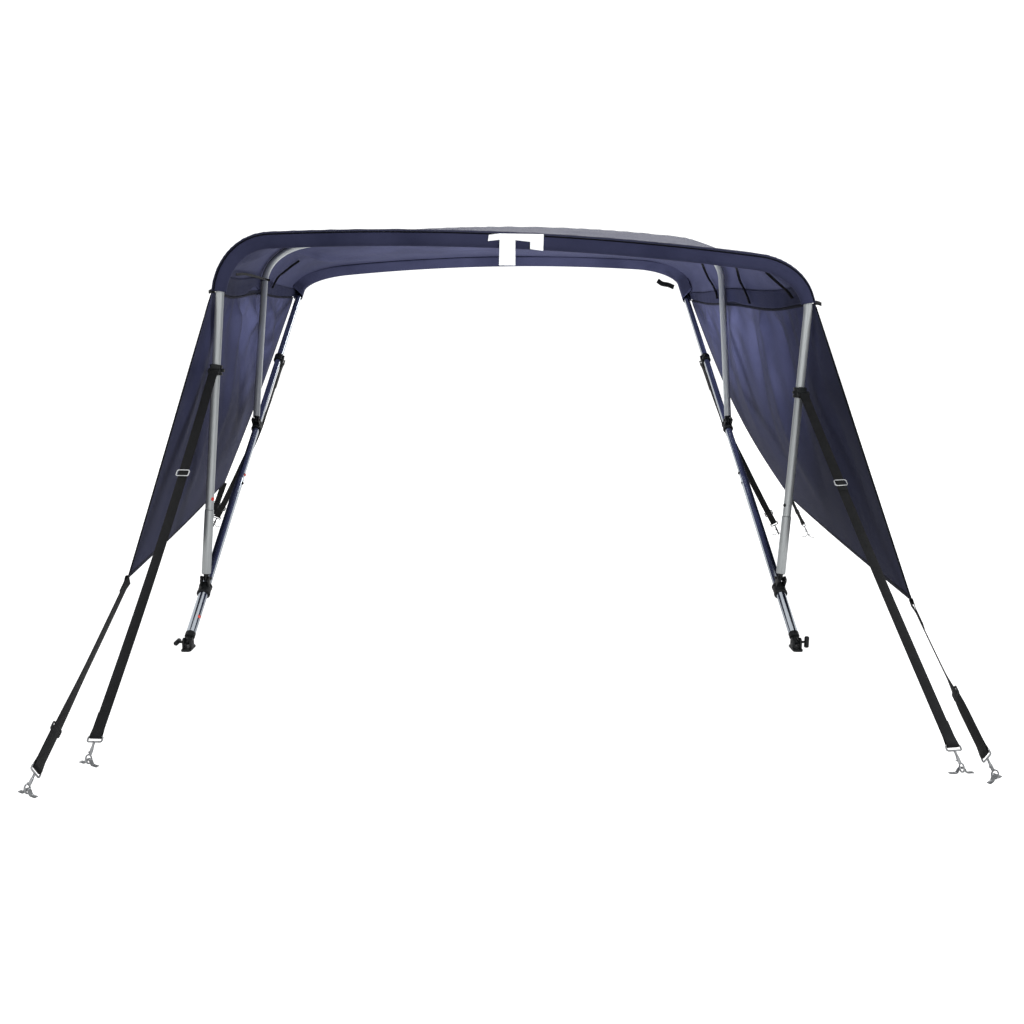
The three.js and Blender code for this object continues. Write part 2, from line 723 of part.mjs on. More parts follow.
// The webbing's width at a share of its run
function widthAt(row, pull, share) {
  const [from, to] = row.turnOver;
  const turned = THREE.MathUtils.smoothstep(share, from, to);
  return turnedAcross(pull, lerp(row.twist[0], row.twist[1], turned));
}

function runPoint(row, start, end, share) {
  return start.clone().lerp(end, share).addScaledVector(up, -hangShare(row, share) * row.sag);
}

// Where a strap starts and how its width lies there: at a side wall's corner, or at an eye slide on a leg
function strapStart(row, pad, wallCorners) {
  if (wallCorners[row.name]) {
    const start = wallCorners[row.name];
    return { start, across: widthAt(row, start.clone().sub(pad).normalize(), 0) };
  }
  const [end, hand] = row.name.split('_');
  const side = hand === 'left' ? 0 : 1;
  const [bow, s] = end === 'front' ? [bows.front, frontSpots.eye[side]] : [bows.main, mainSpots.eye];
  const centre = legPoint(bow, side, s);
  const down = pad.clone().sub(centre).normalize();
  const inward = side === 0 ? 1 : -1;
  const toward = end === 'front' ? down : vec(inward, 0.1, -0.3);
  const leg = legDirection(bow, side);
  const nearby = along(centre, squareTo(toward, leg), tube.thin + 15);
  const hook = along(pad, nearby.clone().sub(pad).normalize(), hookReach);
  const pull = runPoint(row, nearby, hook, pullShare[end]).sub(nearby).normalize();
  const across = squareTo(widthAt(row, down.clone().negate(), 0), pull);
  const reach = end === 'front' ? [13, 4] : [9, 14];
  const start = eyeSlide(`eye_slide_${row.name}`, centre, leg, toward, pull, across, reach);
  return { start, across };
}

function buildStraps(wallCorners) {
  for (const row of straps) {
    const pad = vec(row.pad[0], row.pad[1], padAxis);
    const { start, across } = strapStart(row, pad, wallCorners);
    const pull = start.clone().sub(pad).normalize();
    const padLength = padEye(`pad_eye_${row.name}`, row.pad, row.padTurn);
    const hookBar = snapHook(`hook_${row.name}`, row.pad, padLength, pull, widthAt(row, pull, 1));
    const run = [start];
    const widths = [across];
    for (let k = 1; k <= strapStations; k += 1) {
      run.push(runPoint(row, start, hookBar, k / strapStations));
      widths.push(widthAt(row, pull, k / strapStations));
    }
    const path = strapPath(run, widths, row.double, strapSpacing[row.name.split('_')[0]]);
    const strip = ribbon(path.map((p) => p.point), path.map((p) => p.width), webbing.width, webbing.thick);
    addMesh(`strap_${row.name}`, strip, finish.webbing);
    if (row.name.startsWith('front')) {
      const share = frontBuckleAt[row.name];
      buckle(`buckle_${row.name}`, runPoint(row, start, hookBar, share), pull, widths[0]);
    }
  }
}

// The stretch of a bow under the cloth. Where the cloth's edge lies past the start of the bend, the first
// two points are both on the bend's first chord.
function clothLine(bow) {
  const arch = archPoints(bow);
  const ends = [0, 1].map((side) => {
    const bend = bow.tops[side] - bow.radius;
    if (bow.edges[side] <= bend) return [legPoint(bow, side, bow.edges[side]), arch.at(-side)];
    const next = arch.at(side === 0 ? 1 : -2);
    const chord = next.clone().sub(arch.at(-side)).dot(planeOf(bow).climb);
    const share = (bow.edges[side] - bend) / chord;
    return [share, (1 + share) / 2].map((at) => arch.at(-side).clone().lerp(next, at));
  });
  return [...ends[0], ...arch.slice(1, -1), ...ends[1].reverse()];
}

// Stations across the cloth: for each, the three tube centres, the tubes' directions and the way out
function canopyStations() {
  const lines = {};
  for (const [name, bow] of Object.entries(bows)) {
    lines[name] = clothLine(bow);
  }
  const count = lines.front.length;
  const directions = {};
  for (const name of Object.keys(lines)) directions[name] = tangents(lines[name]);
  return Array.from({ length: count }, (_, i) => {
    const run = directions.front[i].clone().add(directions.main[i]).add(directions.middle[i]);
    const out = run.cross(aft).normalize();
    return {
      share: i / (count - 1), out,
      front: lines.front[i], middle: lines.middle[i], rear: lines.main[i],
      frontRun: directions.front[i], rearRun: directions.main[i],
    };
  });
}

// The sleeve round an end bow: from the top of the tube round its far side and back to the cloth's underside
function sleevePoints(tubeCentre, run, away, out, droop, slackness) {
  const onward = squareTo(away, run);
  const cover = squareTo(squareTo(out, run), onward);
  const r = cloth.sleeve + slackness / 2;
  const centre = along(tubeCentre, cover, slackness / 2);
  const reach = Math.hypot(cloth.hem, r - cloth.hemGap);
  const rise = Math.atan2(r - cloth.hemGap, cloth.hem);
  const sweep = 1.5 * Math.PI + rise - Math.acos(r / reach);
  const hang = droop * Math.max(0, cover.z);
  const points = [];
  for (let k = 0; k <= canopyGrid.wrap; k += 1) {
    const angle = sweep * k / canopyGrid.wrap;
    const below = Math.max(0, -Math.cos(angle));
    const drop = r * Math.cos(angle) - hang * below;
    points.push(along(along(centre, cover, drop), onward, r * Math.sin(angle)));
  }
  const end = along(along(centre, cover, r - cloth.hemGap), onward, -cloth.hem);
  points.push(points.at(-1).clone().lerp(end, 0.5), end);
  return points;
}

function edgeScallop(side, span, t) {
  const row = edgeScallops.find((r) => r.side === side && r.span === span);
  const reach = t < row.peak ? t / row.peak : (1 - t) / (1 - row.peak);
  return row.depth * Math.sin(reach * Math.PI / 2) ** 2;
}

function creaseDepth(across, alongPlace) {
  const flat = (u, v) => new THREE.Vector2(u * canopyFlat.across, v * canopyFlat.along);
  let depth = 0;
  for (const row of canopyCreases) {
    const run = flat(row.toAcross - row.across, row.toAlong - row.along);
    const here = flat(across - row.across, alongPlace - row.along);
    const t = THREE.MathUtils.clamp(here.dot(run) / run.lengthSq(), 0, 1);
    const distance = here.clone().addScaledVector(run, -t).length();
    depth += row.depth * Math.exp(-((distance / row.width) ** 2)) * Math.sin(Math.PI * (0.15 + 0.7 * t));
  }
  return depth;
}

// The canopy's middle surface, one row for each station across, each row from the front hem to the rear hem
function canopyRows() {
  return canopyStations().map((station, index, all) => {
    const edge = index === 0 || index === all.length - 1;
    const side = index === 0 ? 0 : 1;
    const level = Math.max(0, station.out.z);
    const lift = lerp(middleLift.side, middleLift.top, level);
    const middle = along(station.middle, station.out, lift);
    const forward = station.front.clone().sub(station.middle);
    const rearward = station.rear.clone().sub(station.middle);
    const wide = sleeveSlack[station.share < 0.5 ? 0 : 1] * (1 - level);
    const { front: frontAt, frontRun, rear: rearAt, rearRun, out } = station;
    const front = sleevePoints(frontAt, frontRun, forward, out, sleeveDroop.front, wide).reverse();
    const rear = sleevePoints(rearAt, rearRun, rearward, out, sleeveDroop.rear, wide);
    const spanPoints = (from, to, sag, span) => {
      const points = [];
      for (let k = 1; k < canopyGrid.span; k += 1) {
        const t = k / canopyGrid.span;
        const hollow = sag * Math.sin(Math.PI * t) ** 2 * level;
        const crease = creaseDepth(station.share, span + t);
        const point = along(from.clone().lerp(to, t), station.out, crease - hollow);
        if (edge) point.z -= edgeScallop(side, span, t);
        points.push(point);
      }
      return points;
    };
    return [
      ...front, ...spanPoints(front.at(-1), middle, canopySag.front, 0), middle,
      ...spanPoints(middle, rear[0], canopySag.rear, 1), ...rear,
    ];
  });
}

// The lower edge of the cloth on one side, from the front contact line to the rear one
function sideEdge(rows, side, depth = 0) {
  const first = canopyGrid.wrap + 2;
  const last = rows[0].length - 1 - first;
  const order = side === 0 ? rows : [...rows].reverse();
  const edge = [];
  for (let j = first; j <= last; j += 1) {
    let left = depth;
    let i = 0;
    while (left > order[i][j].distanceTo(order[i + 1][j])) {
      left -= order[i][j].distanceTo(order[i + 1][j]);
      i += 1;
    }
    const step = order[i][j].distanceTo(order[i + 1][j]);
    edge.push(order[i][j].clone().lerp(order[i + 1][j], left / step));
  }
  return edge;
}

// A line of points with one more in the middle of each piece
function halved(line) {
  return line.flatMap((p, i) => (i + 1 < line.length ? [p, p.clone().lerp(line[i + 1], 0.5)] : [p]));
}

// The share of a line's length at each of its points
function lengthShares(line) {
  const lengths = [0];
  line.slice(1).forEach((p, i) => lengths.push(lengths[i] + p.distanceTo(line[i])));
  return lengths.map((length) => length / lengths.at(-1));
}

function buildCanopy() {
  const rows = canopyRows();
  addMesh('canopy', sheet(rows, cloth.thick), finish.cloth);
  for (const side of [0, 1]) {
    const inward = vec(side === 0 ? 1 : -1, 0, 0);
    const levels = [0, 0.5, 1].map((share) => sideEdge(rows, side, share * band.height));
    const grid = levels.map((line) => halved(line).slice(2, -1));
    const normals = gridNormals(grid);
    const inset = grid.map((line, i) => line.map((p, k) => {
      const out = normals[i][k].dot(inward) < 0 ? normals[i][k] : normals[i][k].clone().negate();
      return along(p, out, -band.inset);
    }));
    addMesh(`side_band_${['left', 'right'][side]}`, sheet(inset, cloth.thick), finish.clothDark);
  }
  return rows;
}

// A side wall: hung from the cloth's edge, pulled to its two free corners
function wallRows(wall, edge) {
  const top = halved(edge).map((p) => along(p, up, -(cloth.thick / 2 + wallGrid.drop)));
  const shares = lengthShares(top);
  const front = vec(...wall.frontCorner);
  const rear = vec(...wall.rearCorner);
  const outward = wall.side === 0 ? -1 : 1;
  const rows = [];
  for (let i = 0; i < top.length; i += 1) {
    const a = shares[i];
    const from = top[i];
    const to = front.clone().lerp(rear, a).addScaledVector(up, wall.bottomSag * Math.sin(Math.PI * a));
    const row = [];
    for (let j = 0; j <= wallGrid.down; j += 1) {
      const b = j / wallGrid.down;
      const point = from.clone().lerp(to, b);
      point.addScaledVector(vec(...wall.rearSag), Math.sin(Math.PI * b) * a ** 3);
      point.x -= outward * wall.belly * Math.sin(Math.PI * b) * Math.sin(Math.PI * a);
      const fade = Math.min(1, b * 6) * Math.min(1, (1 - b) * 3);
      for (const fold of wall.folds) {
        const distance = (a - lerp(fold.at, fold.to, b)) / fold.width;
        point.x += outward * fold.depth * fade * Math.exp(-(distance ** 2));
      }
      const pucker = Math.exp(-b / puckers.reach) * Math.min(1, b * 8);
      point.x += outward * puckers.depth * pucker * Math.sin(2 * Math.PI * puckers.waves * a);
      row.push(point);
    }
    rows.push(row);
  }
  return rows;
}

// A corner patch: a thin triangle of darker cloth on the wall's outer face at its front corner
function cornerPatch(name, rows, side) {
  const last = wallGrid.down;
  const corner = rows[0][last];
  const outward = vec(side === 0 ? -1 : 1, 0, 0);
  const along1 = rows[1][last].clone().sub(corner).normalize();
  const along2 = rows[0][last - 1].clone().sub(corner).normalize();
  const normal = along1.clone().cross(along2).normalize();
  const out = normal.dot(outward) > 0 ? normal : normal.negate();
  const base = along(along(along(corner, out, patch.lift), along1, patch.inset), along2, patch.inset);
  const points = [base, along(base, along1, patch.leg), along(base, along2, patch.leg)];
  const upper = points.map((p) => along(p, out, patch.thick));
  addMesh(name, skinRings([points, upper]), finish.clothDark);
}

function buildWalls(rows) {
  const corners = {};
  for (const wall of walls) {
    const grid = wallRows(wall, sideEdge(rows, wall.side));
    addMesh(`side_wall_${wall.name}`, sheet(grid, cloth.thick), finish.cloth);
    cornerPatch(`corner_patch_${wall.name}`, grid, wall.side);
    const out = wall.side === 0 ? -1 : 1;
    for (const [end, column] of [['front', grid[0]], ['rear', grid.at(-1)]]) {
      const [x, y, z] = cornerStand[end];
      corners[`wall_${end}_${wall.name}`] = column.at(-1).clone().add(vec(out * x, y, z));
    }
  }
  return corners;
}

function buildTies() {
  for (const row of ties) {
    const curve = new THREE.CatmullRomCurve3(row.run.map((p) => vec(...p)));
    const points = curve.getPoints(10);
    const widths = tangents(points).map((run) => (row.upright ? up : run.cross(aft)));
    addMesh(row.name, ribbon(points, widths, row.width, tieThick), finish.webbing);
  }
}

// The bare label on the front sleeve: a bar, a tag that hangs from it and a short return
function buildLabel() {
  const arch = archPoints(bows.front);
  const at = arch.reduce((best, p) => (Math.abs(p.x - label.x) < Math.abs(best.x - label.x) ? p : best));
  const frame = new THREE.Matrix4().makeBasis(right, up, aft.clone().negate());
  const front = at.y - cloth.sleeve - cloth.thick / 2 - label.stand;
  const place = vec(0, front, at.z + label.rise);
  addMesh('label', plate(label.outline, [], label.thick, frame, place), finish.label);
}

buildBows();
buildJaws();
buildFeet();
const canopy = buildCanopy();
const wallCorners = buildWalls(canopy);
buildStraps(wallCorners);
buildTies();
buildLabel();

export default group;
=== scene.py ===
# A three-bow bimini top with its side walls on, strapped down on a plain studio floor.
# Places are worked out in millimetres from a point on the deck below the viewer, as the part's
# source does, and makePiece() brings them to the row frame in metres.
import bpy
import math
import types
import numpy as np
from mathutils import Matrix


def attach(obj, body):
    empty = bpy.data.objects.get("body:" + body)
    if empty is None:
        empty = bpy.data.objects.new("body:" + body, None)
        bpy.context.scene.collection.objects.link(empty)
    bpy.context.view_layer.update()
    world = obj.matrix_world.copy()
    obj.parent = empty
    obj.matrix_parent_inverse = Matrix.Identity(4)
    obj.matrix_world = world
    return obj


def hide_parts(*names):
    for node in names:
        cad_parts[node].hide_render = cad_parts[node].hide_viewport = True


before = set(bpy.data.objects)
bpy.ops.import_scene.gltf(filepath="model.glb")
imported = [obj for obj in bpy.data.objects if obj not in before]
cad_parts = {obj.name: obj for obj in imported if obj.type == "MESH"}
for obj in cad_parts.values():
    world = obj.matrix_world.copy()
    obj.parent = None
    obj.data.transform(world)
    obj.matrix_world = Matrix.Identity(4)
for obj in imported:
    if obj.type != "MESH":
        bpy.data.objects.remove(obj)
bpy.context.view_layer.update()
print("frame loaded:", len(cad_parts), "nodes")

footprintCentre = np.array([-53.7, 3319.6, 0.0])
handNames = ["left", "right"]
outSigns = [-1, 1]  # outward along x, by hand
right, aft, up = np.eye(3)

tube = {"thin": 12.5, "wide": 14.0, "sides": 48}
webbing = {"width": 26.0, "thick": 1.5, "layer": 1.3, "turn": 4.4}
cloth = {"thick": 1.5, "sleeve": 17.5, "hem": 52.0, "hemGap": 3.4, "smooth": 75}

# Each bow leans in a plane through y, z of its leg ends; distances s are measured up that plane
bows = {
    "front": {"y": 2872, "z": 166, "angle": 85.68, "feet": [-957, 839], "corners": [-880, 894],
              "tops": [1034, 970], "radius": 155, "crown": 31, "edges": [876, 840]},
    "middle": {"y": 3622, "z": 582, "angle": 66.87, "feet": [-976, 824], "corners": [-974, 826],
               "tops": [727, 740], "radius": 165, "crown": 50, "edges": [522, 475]},
    "main": {"y": 2680, "z": 22, "angle": 29.45, "feet": [-959, 841], "corners": [-992, 805],
             "tops": [2385, 2446], "radius": 195, "crown": 60, "edges": [2117, 2091]},
}
mainSpots = {"foot": 34, "frontJaw": 214, "joint": 767, "middleJaw": 1087, "eye": 1575}
frontSpots = {"start": 14, "joint": [215, 194], "eye": [643, 574]}


# Vectors: unit(v) = v / |v|, and squareTo(v, a) = unit(v - (v.a) a) for a unit axis a
def unit(v):
    return v / np.maximum(np.linalg.norm(v, axis=-1, keepdims=True), 1e-9)


def dot(a, b):
    return np.sum(a * b, axis=-1, keepdims=True)


def squareTo(v, axis):
    return unit(v - dot(v, axis) * axis)


def mix(a, b, t):
    return a + (b - a) * t


def smooth(t):
    t = np.clip(t, 0, 1)
    return t * t * (3 - 2 * t)


# A share that rises from 0 at the one end over 1 / first, and falls to 0 at the other over 1 / last
def endsFade(a, first, last):
    return np.minimum(1, a * first) * np.minimum(1, (1 - a) * last)


# Tangents of a line of points: the difference of each point's neighbours, made a unit vector
def tangents(points):
    return unit(np.gradient(points, axis=0))


def arcLength(points):
    steps = np.linalg.norm(np.diff(points, axis=0), axis=1)
    return np.concatenate([[0], np.cumsum(steps)])


# Points at given distances along a line, straight between its own points
def atDistance(points, length, distances):
    return np.stack([np.interp(distances, length, points[:, k]) for k in range(3)], axis=-1)


# Soft unevenness: a sum of sines in fixed directions, from a seeded draw, between about -1 and 1
def uneven(u, v, seed, waves=7):
    rng = np.random.default_rng(seed)
    total = np.zeros(np.broadcast(u, v).shape)
    for turn, rate, phase in zip(rng.uniform(0, 2 * np.pi, waves), rng.uniform(0.6, 2.2, waves),
                                 rng.uniform(0, 2 * np.pi, waves)):
        total += np.sin(rate * (u * np.cos(turn) + v * np.sin(turn)) + phase) / rate
    return total / 2.6


# Faces of a grid with rows x columns points; wrapped joins the last column to the first
def gridFaces(rows, columns, wrapped=False):
    i = np.arange(rows - 1)[:, None]
    j = np.arange(columns if wrapped else columns - 1)[None, :]
    a = i * columns + j
    b = i * columns + (j + 1) % columns
    return np.stack([a, b, b + columns, a + columns], axis=-1).reshape(-1, 4).tolist()


# Unit normals of a grid: the cross product of its two differences, turned to one side
def gridNormals(grid, toward):
    normals = unit(np.cross(np.gradient(grid, axis=0), np.gradient(grid, axis=1)))
    return np.where(dot(normals, toward) < 0, -normals, normals)


# Points between a grid's own, at rows and columns with fractions: bilinear
def onGrid(grid, rows, columns):
    r0, c0 = np.floor(rows).astype(int), np.floor(columns).astype(int)
    r1, c1 = np.minimum(r0 + 1, grid.shape[0] - 1), np.minimum(c0 + 1, grid.shape[1] - 1)
    down, along = (rows - r0)[..., None], (columns - c0)[..., None]
    near = grid[r0, c0] * (1 - down) + grid[r1, c0] * down
    return near * (1 - along) + (grid[r0, c1] * (1 - down) + grid[r1, c1] * down) * along


# The volume that a closed set of faces holds, by fans of tetrahedra from the origin
def enclosedVolume(points, faces):
    total = 0.0
    for size in {len(f) for f in faces}:
        group = np.array([f for f in faces if len(f) == size])
        for k in range(1, size - 1):
            a, b, c = points[group[:, 0]], points[group[:, k]], points[group[:, k + 1]]
            total += np.sum(np.cross(a, b) * c)
    return total / 6


def facingOut(points, faces):
    centred = points - points.mean(axis=0)
    if enclosedVolume(centred, faces) < 0:
        return [f[::-1] for f in faces]
    return faces


# Rings of points joined into a closed surface with a flat cap at each end, or wrapped end to end.
# The result is (points, faces, uv), with uv in metres: run along the rings, and way round a ring.
def skin(rings, endless=False):
    count, around = rings.shape[:2]
    source = np.concatenate([rings, rings[:1]]) if endless else rings
    run = arcLength(source.mean(axis=1))[:count]
    way = arcLength(np.concatenate([rings[count // 2], rings[count // 2][:1]]))[:around]
    uv = np.stack(np.broadcast_arrays(run[:, None], way[None, :]), axis=-1).reshape(-1, 2) / 1000
    points = rings.reshape(-1, 3)
    faces = gridFaces(count, around, wrapped=True)
    last = (count - 1) * around
    if endless:
        faces += [[last + j, last + (j + 1) % around, (j + 1) % around, j] for j in range(around)]
    else:
        faces += [list(range(around))[::-1], list(range(last, last + around))]
    return points, facingOut(points, faces), uv


def joinParts(parts):
    points, faces, uv, start = [], [], [], 0
    for p, f, t in parts:
        points.append(p)
        uv.append(t)
        faces += [[k + start for k in face] for face in f]
        start += len(p)
    return np.concatenate(points), faces, np.concatenate(uv)


def hintFor(direction):
    return up if abs(direction @ up) < 0.9 else right


def fullTurn(sides):
    return 2 * np.pi * np.arange(sides) / sides


# Unit vectors round a line: cos(angle) side + sin(angle) cover
def spokes(side, cover, angle):
    return side[..., None, :] * np.cos(angle)[:, None] + cover[..., None, :] * np.sin(angle)[:, None]


def spokesAbout(direction, sides):
    side = squareTo(hintFor(direction), direction)
    return spokes(side, np.cross(direction, side), fullTurn(sides))


# A round bar: ring(i, angle) = path(i) + r (cos(angle) side(i) + sin(angle) cover(i))
def roundBar(path, radius, sides=24, hint=None, endless=False):
    directions = unit(np.roll(path, -1, axis=0) - np.roll(path, 1, axis=0)) if endless else tangents(path)
    hint = hintFor(directions[0]) if hint is None else hint
    side = squareTo(np.broadcast_to(hint, path.shape), directions)
    return skin(path[:, None, :] + radius * spokes(side, np.cross(directions, side), fullTurn(sides)), endless)


# A turned part: a profile of (distance, radius) pairs carried round the line between two points
def turned(start, end, profile, sides=32):
    start, table = np.asarray(start, float), np.array(profile, dtype=float)
    direction = unit(np.asarray(end, float) - start)
    centres = start + table[:, :1] * direction
    return skin(centres[:, None, :] + table[:, 1, None, None] * spokesAbout(direction, sides)[None, :, :])


# A pin or rod with softened ends
def pin(start, end, radius, soft=0.8, sides=24):
    length = np.linalg.norm(np.asarray(end, float) - np.asarray(start, float))
    soft = min(soft, radius * 0.6, length * 0.3)
    profile = [(0, radius - soft), (soft * 0.3, radius - soft * 0.3), (soft, radius), (length - soft, radius),
               (length - soft * 0.3, radius - soft * 0.3), (length, radius - soft)]
    return turned(start, end, profile, sides)


# Outline of a rounded rectangle about the origin: corner centres plus r (cos, sin) quarter turns
def roundedRectangle(wide, high, radius, steps=6):
    turn = np.linspace(0, np.pi / 2, steps + 1)
    outline = []
    for quarter, (sx, sy) in enumerate([(1, 1), (-1, 1), (-1, -1), (1, -1)]):
        angle = turn + quarter * np.pi / 2
        centre = np.array([sx * (wide / 2 - radius), sy * (high / 2 - radius)])
        outline.append(centre + radius * np.stack([np.cos(angle), np.sin(angle)], axis=-1))
    return np.concatenate(outline)


# A collar with a bore: its section is a rounded rectangle carried right round the axis
def collar(centre, direction, half, inner, outer, soft=1.5, sides=48):
    section = roundedRectangle(2 * half, outer - inner, soft, 4)
    rings = (centre + section[None, :, :1] * direction
             + ((inner + outer) / 2 + section[None, :, 1:]) * spokesAbout(direction, sides)[:, None, :])
    return skin(rings, endless=True)


# A flat plate with softened rims: its outline in x and y of a frame, drawn in by soft (1 - cos a)
# as the height nears either face
def plate(outline, thick, axesOf, at, soft=1.0):
    xAxis, yAxis, zAxis = axesOf
    edge = unit(np.roll(outline, -1, axis=0) - np.roll(outline, 1, axis=0))
    inward = np.stack([-edge[:, 1], edge[:, 0]], axis=-1)
    soft = min(soft, thick * 0.45)
    turn = np.linspace(0, np.pi / 2, 4)
    rise, draw = soft * (1 - np.cos(turn)), soft * (1 - np.sin(turn))
    inset = np.concatenate([draw, rise])
    height = np.concatenate([-thick / 2 + rise, thick / 2 - draw])
    flat = outline[None, :, :] + inset[:, None, None] * inward[None, :, :]
    return skin(at + flat[..., :1] * xAxis + flat[..., 1:] * yAxis + height[:, None, None] * zAxis)


def frameAxes(zAxis, hint):
    z = unit(np.asarray(zAxis, float))
    x = squareTo(np.asarray(hint, float), z)
    return x, np.cross(z, x), z


# A strip along a path: a rounded rectangular section, its width across the path and its thickness
# square to both
def strip(path, widths, width, thick, steps=2):
    directions = tangents(path)
    across = squareTo(widths, directions)
    normal = np.cross(directions, across)
    section = roundedRectangle(width, thick, min(thick, width) * 0.45, steps)
    rings = (path[:, None, :] + section[None, :, :1] * across[:, None, :]
             + section[None, :, 1:] * normal[:, None, :])
    return skin(rings)


# One mesh object in the row frame, riding the body, that hides the nodes that it stands for.
# A shape is (points, faces, uv), or a list of such shapes that are joined.
def makePiece(name, shape, look, replaced=(), smoothAngle=40, thickness=None):
    points, faces, uv = joinParts(shape) if isinstance(shape, list) else shape
    mesh = bpy.data.meshes.new(name)
    mesh.from_pydata(((points - footprintCentre) / 1000).tolist(), [], faces)
    layer = mesh.uv_layers.new(name="UVMap")
    corners = np.empty(len(mesh.loops), dtype=np.int32)
    mesh.loops.foreach_get("vertex_index", corners)
    layer.data.foreach_set("uv", uv[corners].astype(np.float32).ravel())
    mesh.materials.append(looks[look])
    mesh.shade_smooth()
    mesh.set_sharp_from_angle(angle=math.radians(smoothAngle))
    mesh.update()
    piece = bpy.data.objects.new(name, mesh)
    bpy.context.scene.collection.objects.link(piece)
    if thickness:
        wall = piece.modifiers.new("clothThickness", "SOLIDIFY")
        wall.thickness = thickness / 1000
        wall.offset = 0
    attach(piece, "root")
    if replaced:
        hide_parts(*replaced)
    return piece


# The flat size of a cloth from its middle surface: longest row, longest column, and area
def flatSize(grid):
    rows = np.linalg.norm(np.diff(grid, axis=1), axis=2).sum(axis=1)
    columns = np.linalg.norm(np.diff(grid, axis=0), axis=2).sum(axis=0)
    a = np.cross(grid[1:, :-1] - grid[:-1, :-1], grid[:-1, 1:] - grid[:-1, :-1])
    b = np.cross(grid[1:, :-1] - grid[1:, 1:], grid[:-1, 1:] - grid[1:, 1:])
    area = (np.linalg.norm(a, axis=-1).sum() + np.linalg.norm(b, axis=-1).sum()) / 2
    return rows.max() / 1000, columns.max() / 1000, area / 1e6


def gridShape(grid):
    rows, columns = grid.shape[:2]
    across = arcLength(grid[:, columns // 2]) / 1000
    along = arcLength(grid[rows // 2]) / 1000
    uv = np.stack(np.broadcast_arrays(across[:, None], along[None, :]), axis=-1).reshape(-1, 2)
    return grid.reshape(-1, 3), gridFaces(rows, columns), uv


# Materials. A node's own settings and its inputs are both given by name.
def addNode(tree, kind, **values):
    node = tree.nodes.new(kind)
    for key, value in values.items():
        if hasattr(node, key):
            setattr(node, key, value)
        else:
            node.inputs[key].default_value = value
    return node


def link(tree, source, output, target, socket):
    tree.links.new(source.outputs[output], target.inputs[socket])


def setInputs(node, values):
    for key, value in values.items():
        node.inputs[key].default_value = value


def colour(red, green, blue):
    linear = [((c / 255 + 0.055) / 1.055) ** 2.4 if c > 10 else c / 255 / 12.92 for c in (red, green, blue)]
    return (*linear, 1.0)


# A material whose colour runs between two over a noise, and its roughness too where it is a pair.
# The result holds the material and the nodes that others are joined to.
def blotchedMaterial(name, space, scale, low, high, roughness, stretch=(1, 1, 1)):
    material = bpy.data.materials.new(name)
    material.use_nodes = True
    tree = material.node_tree
    shader = tree.nodes["Principled BSDF"]
    coordinates = addNode(tree, "ShaderNodeTexCoord")
    mapping = addNode(tree, "ShaderNodeMapping", Scale=stretch)
    link(tree, coordinates, space, mapping, "Vector")
    noise = addNode(tree, "ShaderNodeTexNoise", Scale=scale, Detail=4.0)
    link(tree, mapping, "Vector", noise, "Vector")
    ramp = addNode(tree, "ShaderNodeValToRGB")
    for element, place, tint in zip(ramp.color_ramp.elements, (0.35, 0.65), (low, high)):
        element.position, element.color = place, tint
    link(tree, noise, "Fac", ramp, "Fac")
    link(tree, ramp, "Color", shader, "Base Color")
    if isinstance(roughness, tuple):
        rough = addNode(tree, "ShaderNodeMapRange", **{"To Min": roughness[0], "To Max": roughness[1]})
        link(tree, noise, "Fac", rough, "Value")
        link(tree, rough, "Result", shader, "Roughness")
    else:
        setInputs(shader, {"Roughness": roughness})
    return types.SimpleNamespace(material=material, tree=tree, shader=shader, coordinates=coordinates,
                                 ramp=ramp, noise=noise)


# Bump from one or more heights, chained: each row is node, output, strength, distance
def bumpChain(tree, shader, heights):
    previous = None
    for node, output, strength, distance in heights:
        bump = addNode(tree, "ShaderNodeBump", Strength=strength, Distance=distance)
        link(tree, node, output, bump, "Height")
        if previous:
            link(tree, previous, "Normal", bump, "Normal")
        previous = bump
    link(tree, previous, "Normal", shader, "Normal")


waveRate = 0.314  # a wave texture's scale for one band in each unit of length


# A plain weave on the piece's UV in metres: the product of two fine waves, one each way
def weave(tree, pitch):
    coordinates = addNode(tree, "ShaderNodeTexCoord")
    blend = addNode(tree, "ShaderNodeMath", operation="MULTIPLY")
    for socket, direction in enumerate("XY"):
        wave = addNode(tree, "ShaderNodeTexWave", bands_direction=direction, Scale=waveRate / pitch,
                       Distortion=0.4)
        link(tree, coordinates, "UV", wave, "Vector")
        link(tree, wave, "Fac", blend, socket)
    return blend


def multiplied(tree, share, first, second):
    product = addNode(tree, "ShaderNodeMix", data_type="RGBA", blend_type="MULTIPLY")
    product.inputs[0].default_value = share
    link(tree, *first, product, 6)
    link(tree, *second, product, 7)
    return product


clothLook = {"blotch": 5.0, "roughness": (0.62, 0.78), "pitch": 0.0011, "crumple": 26.0,
             "sheenTint": (0.5, 0.53, 0.9, 1)}


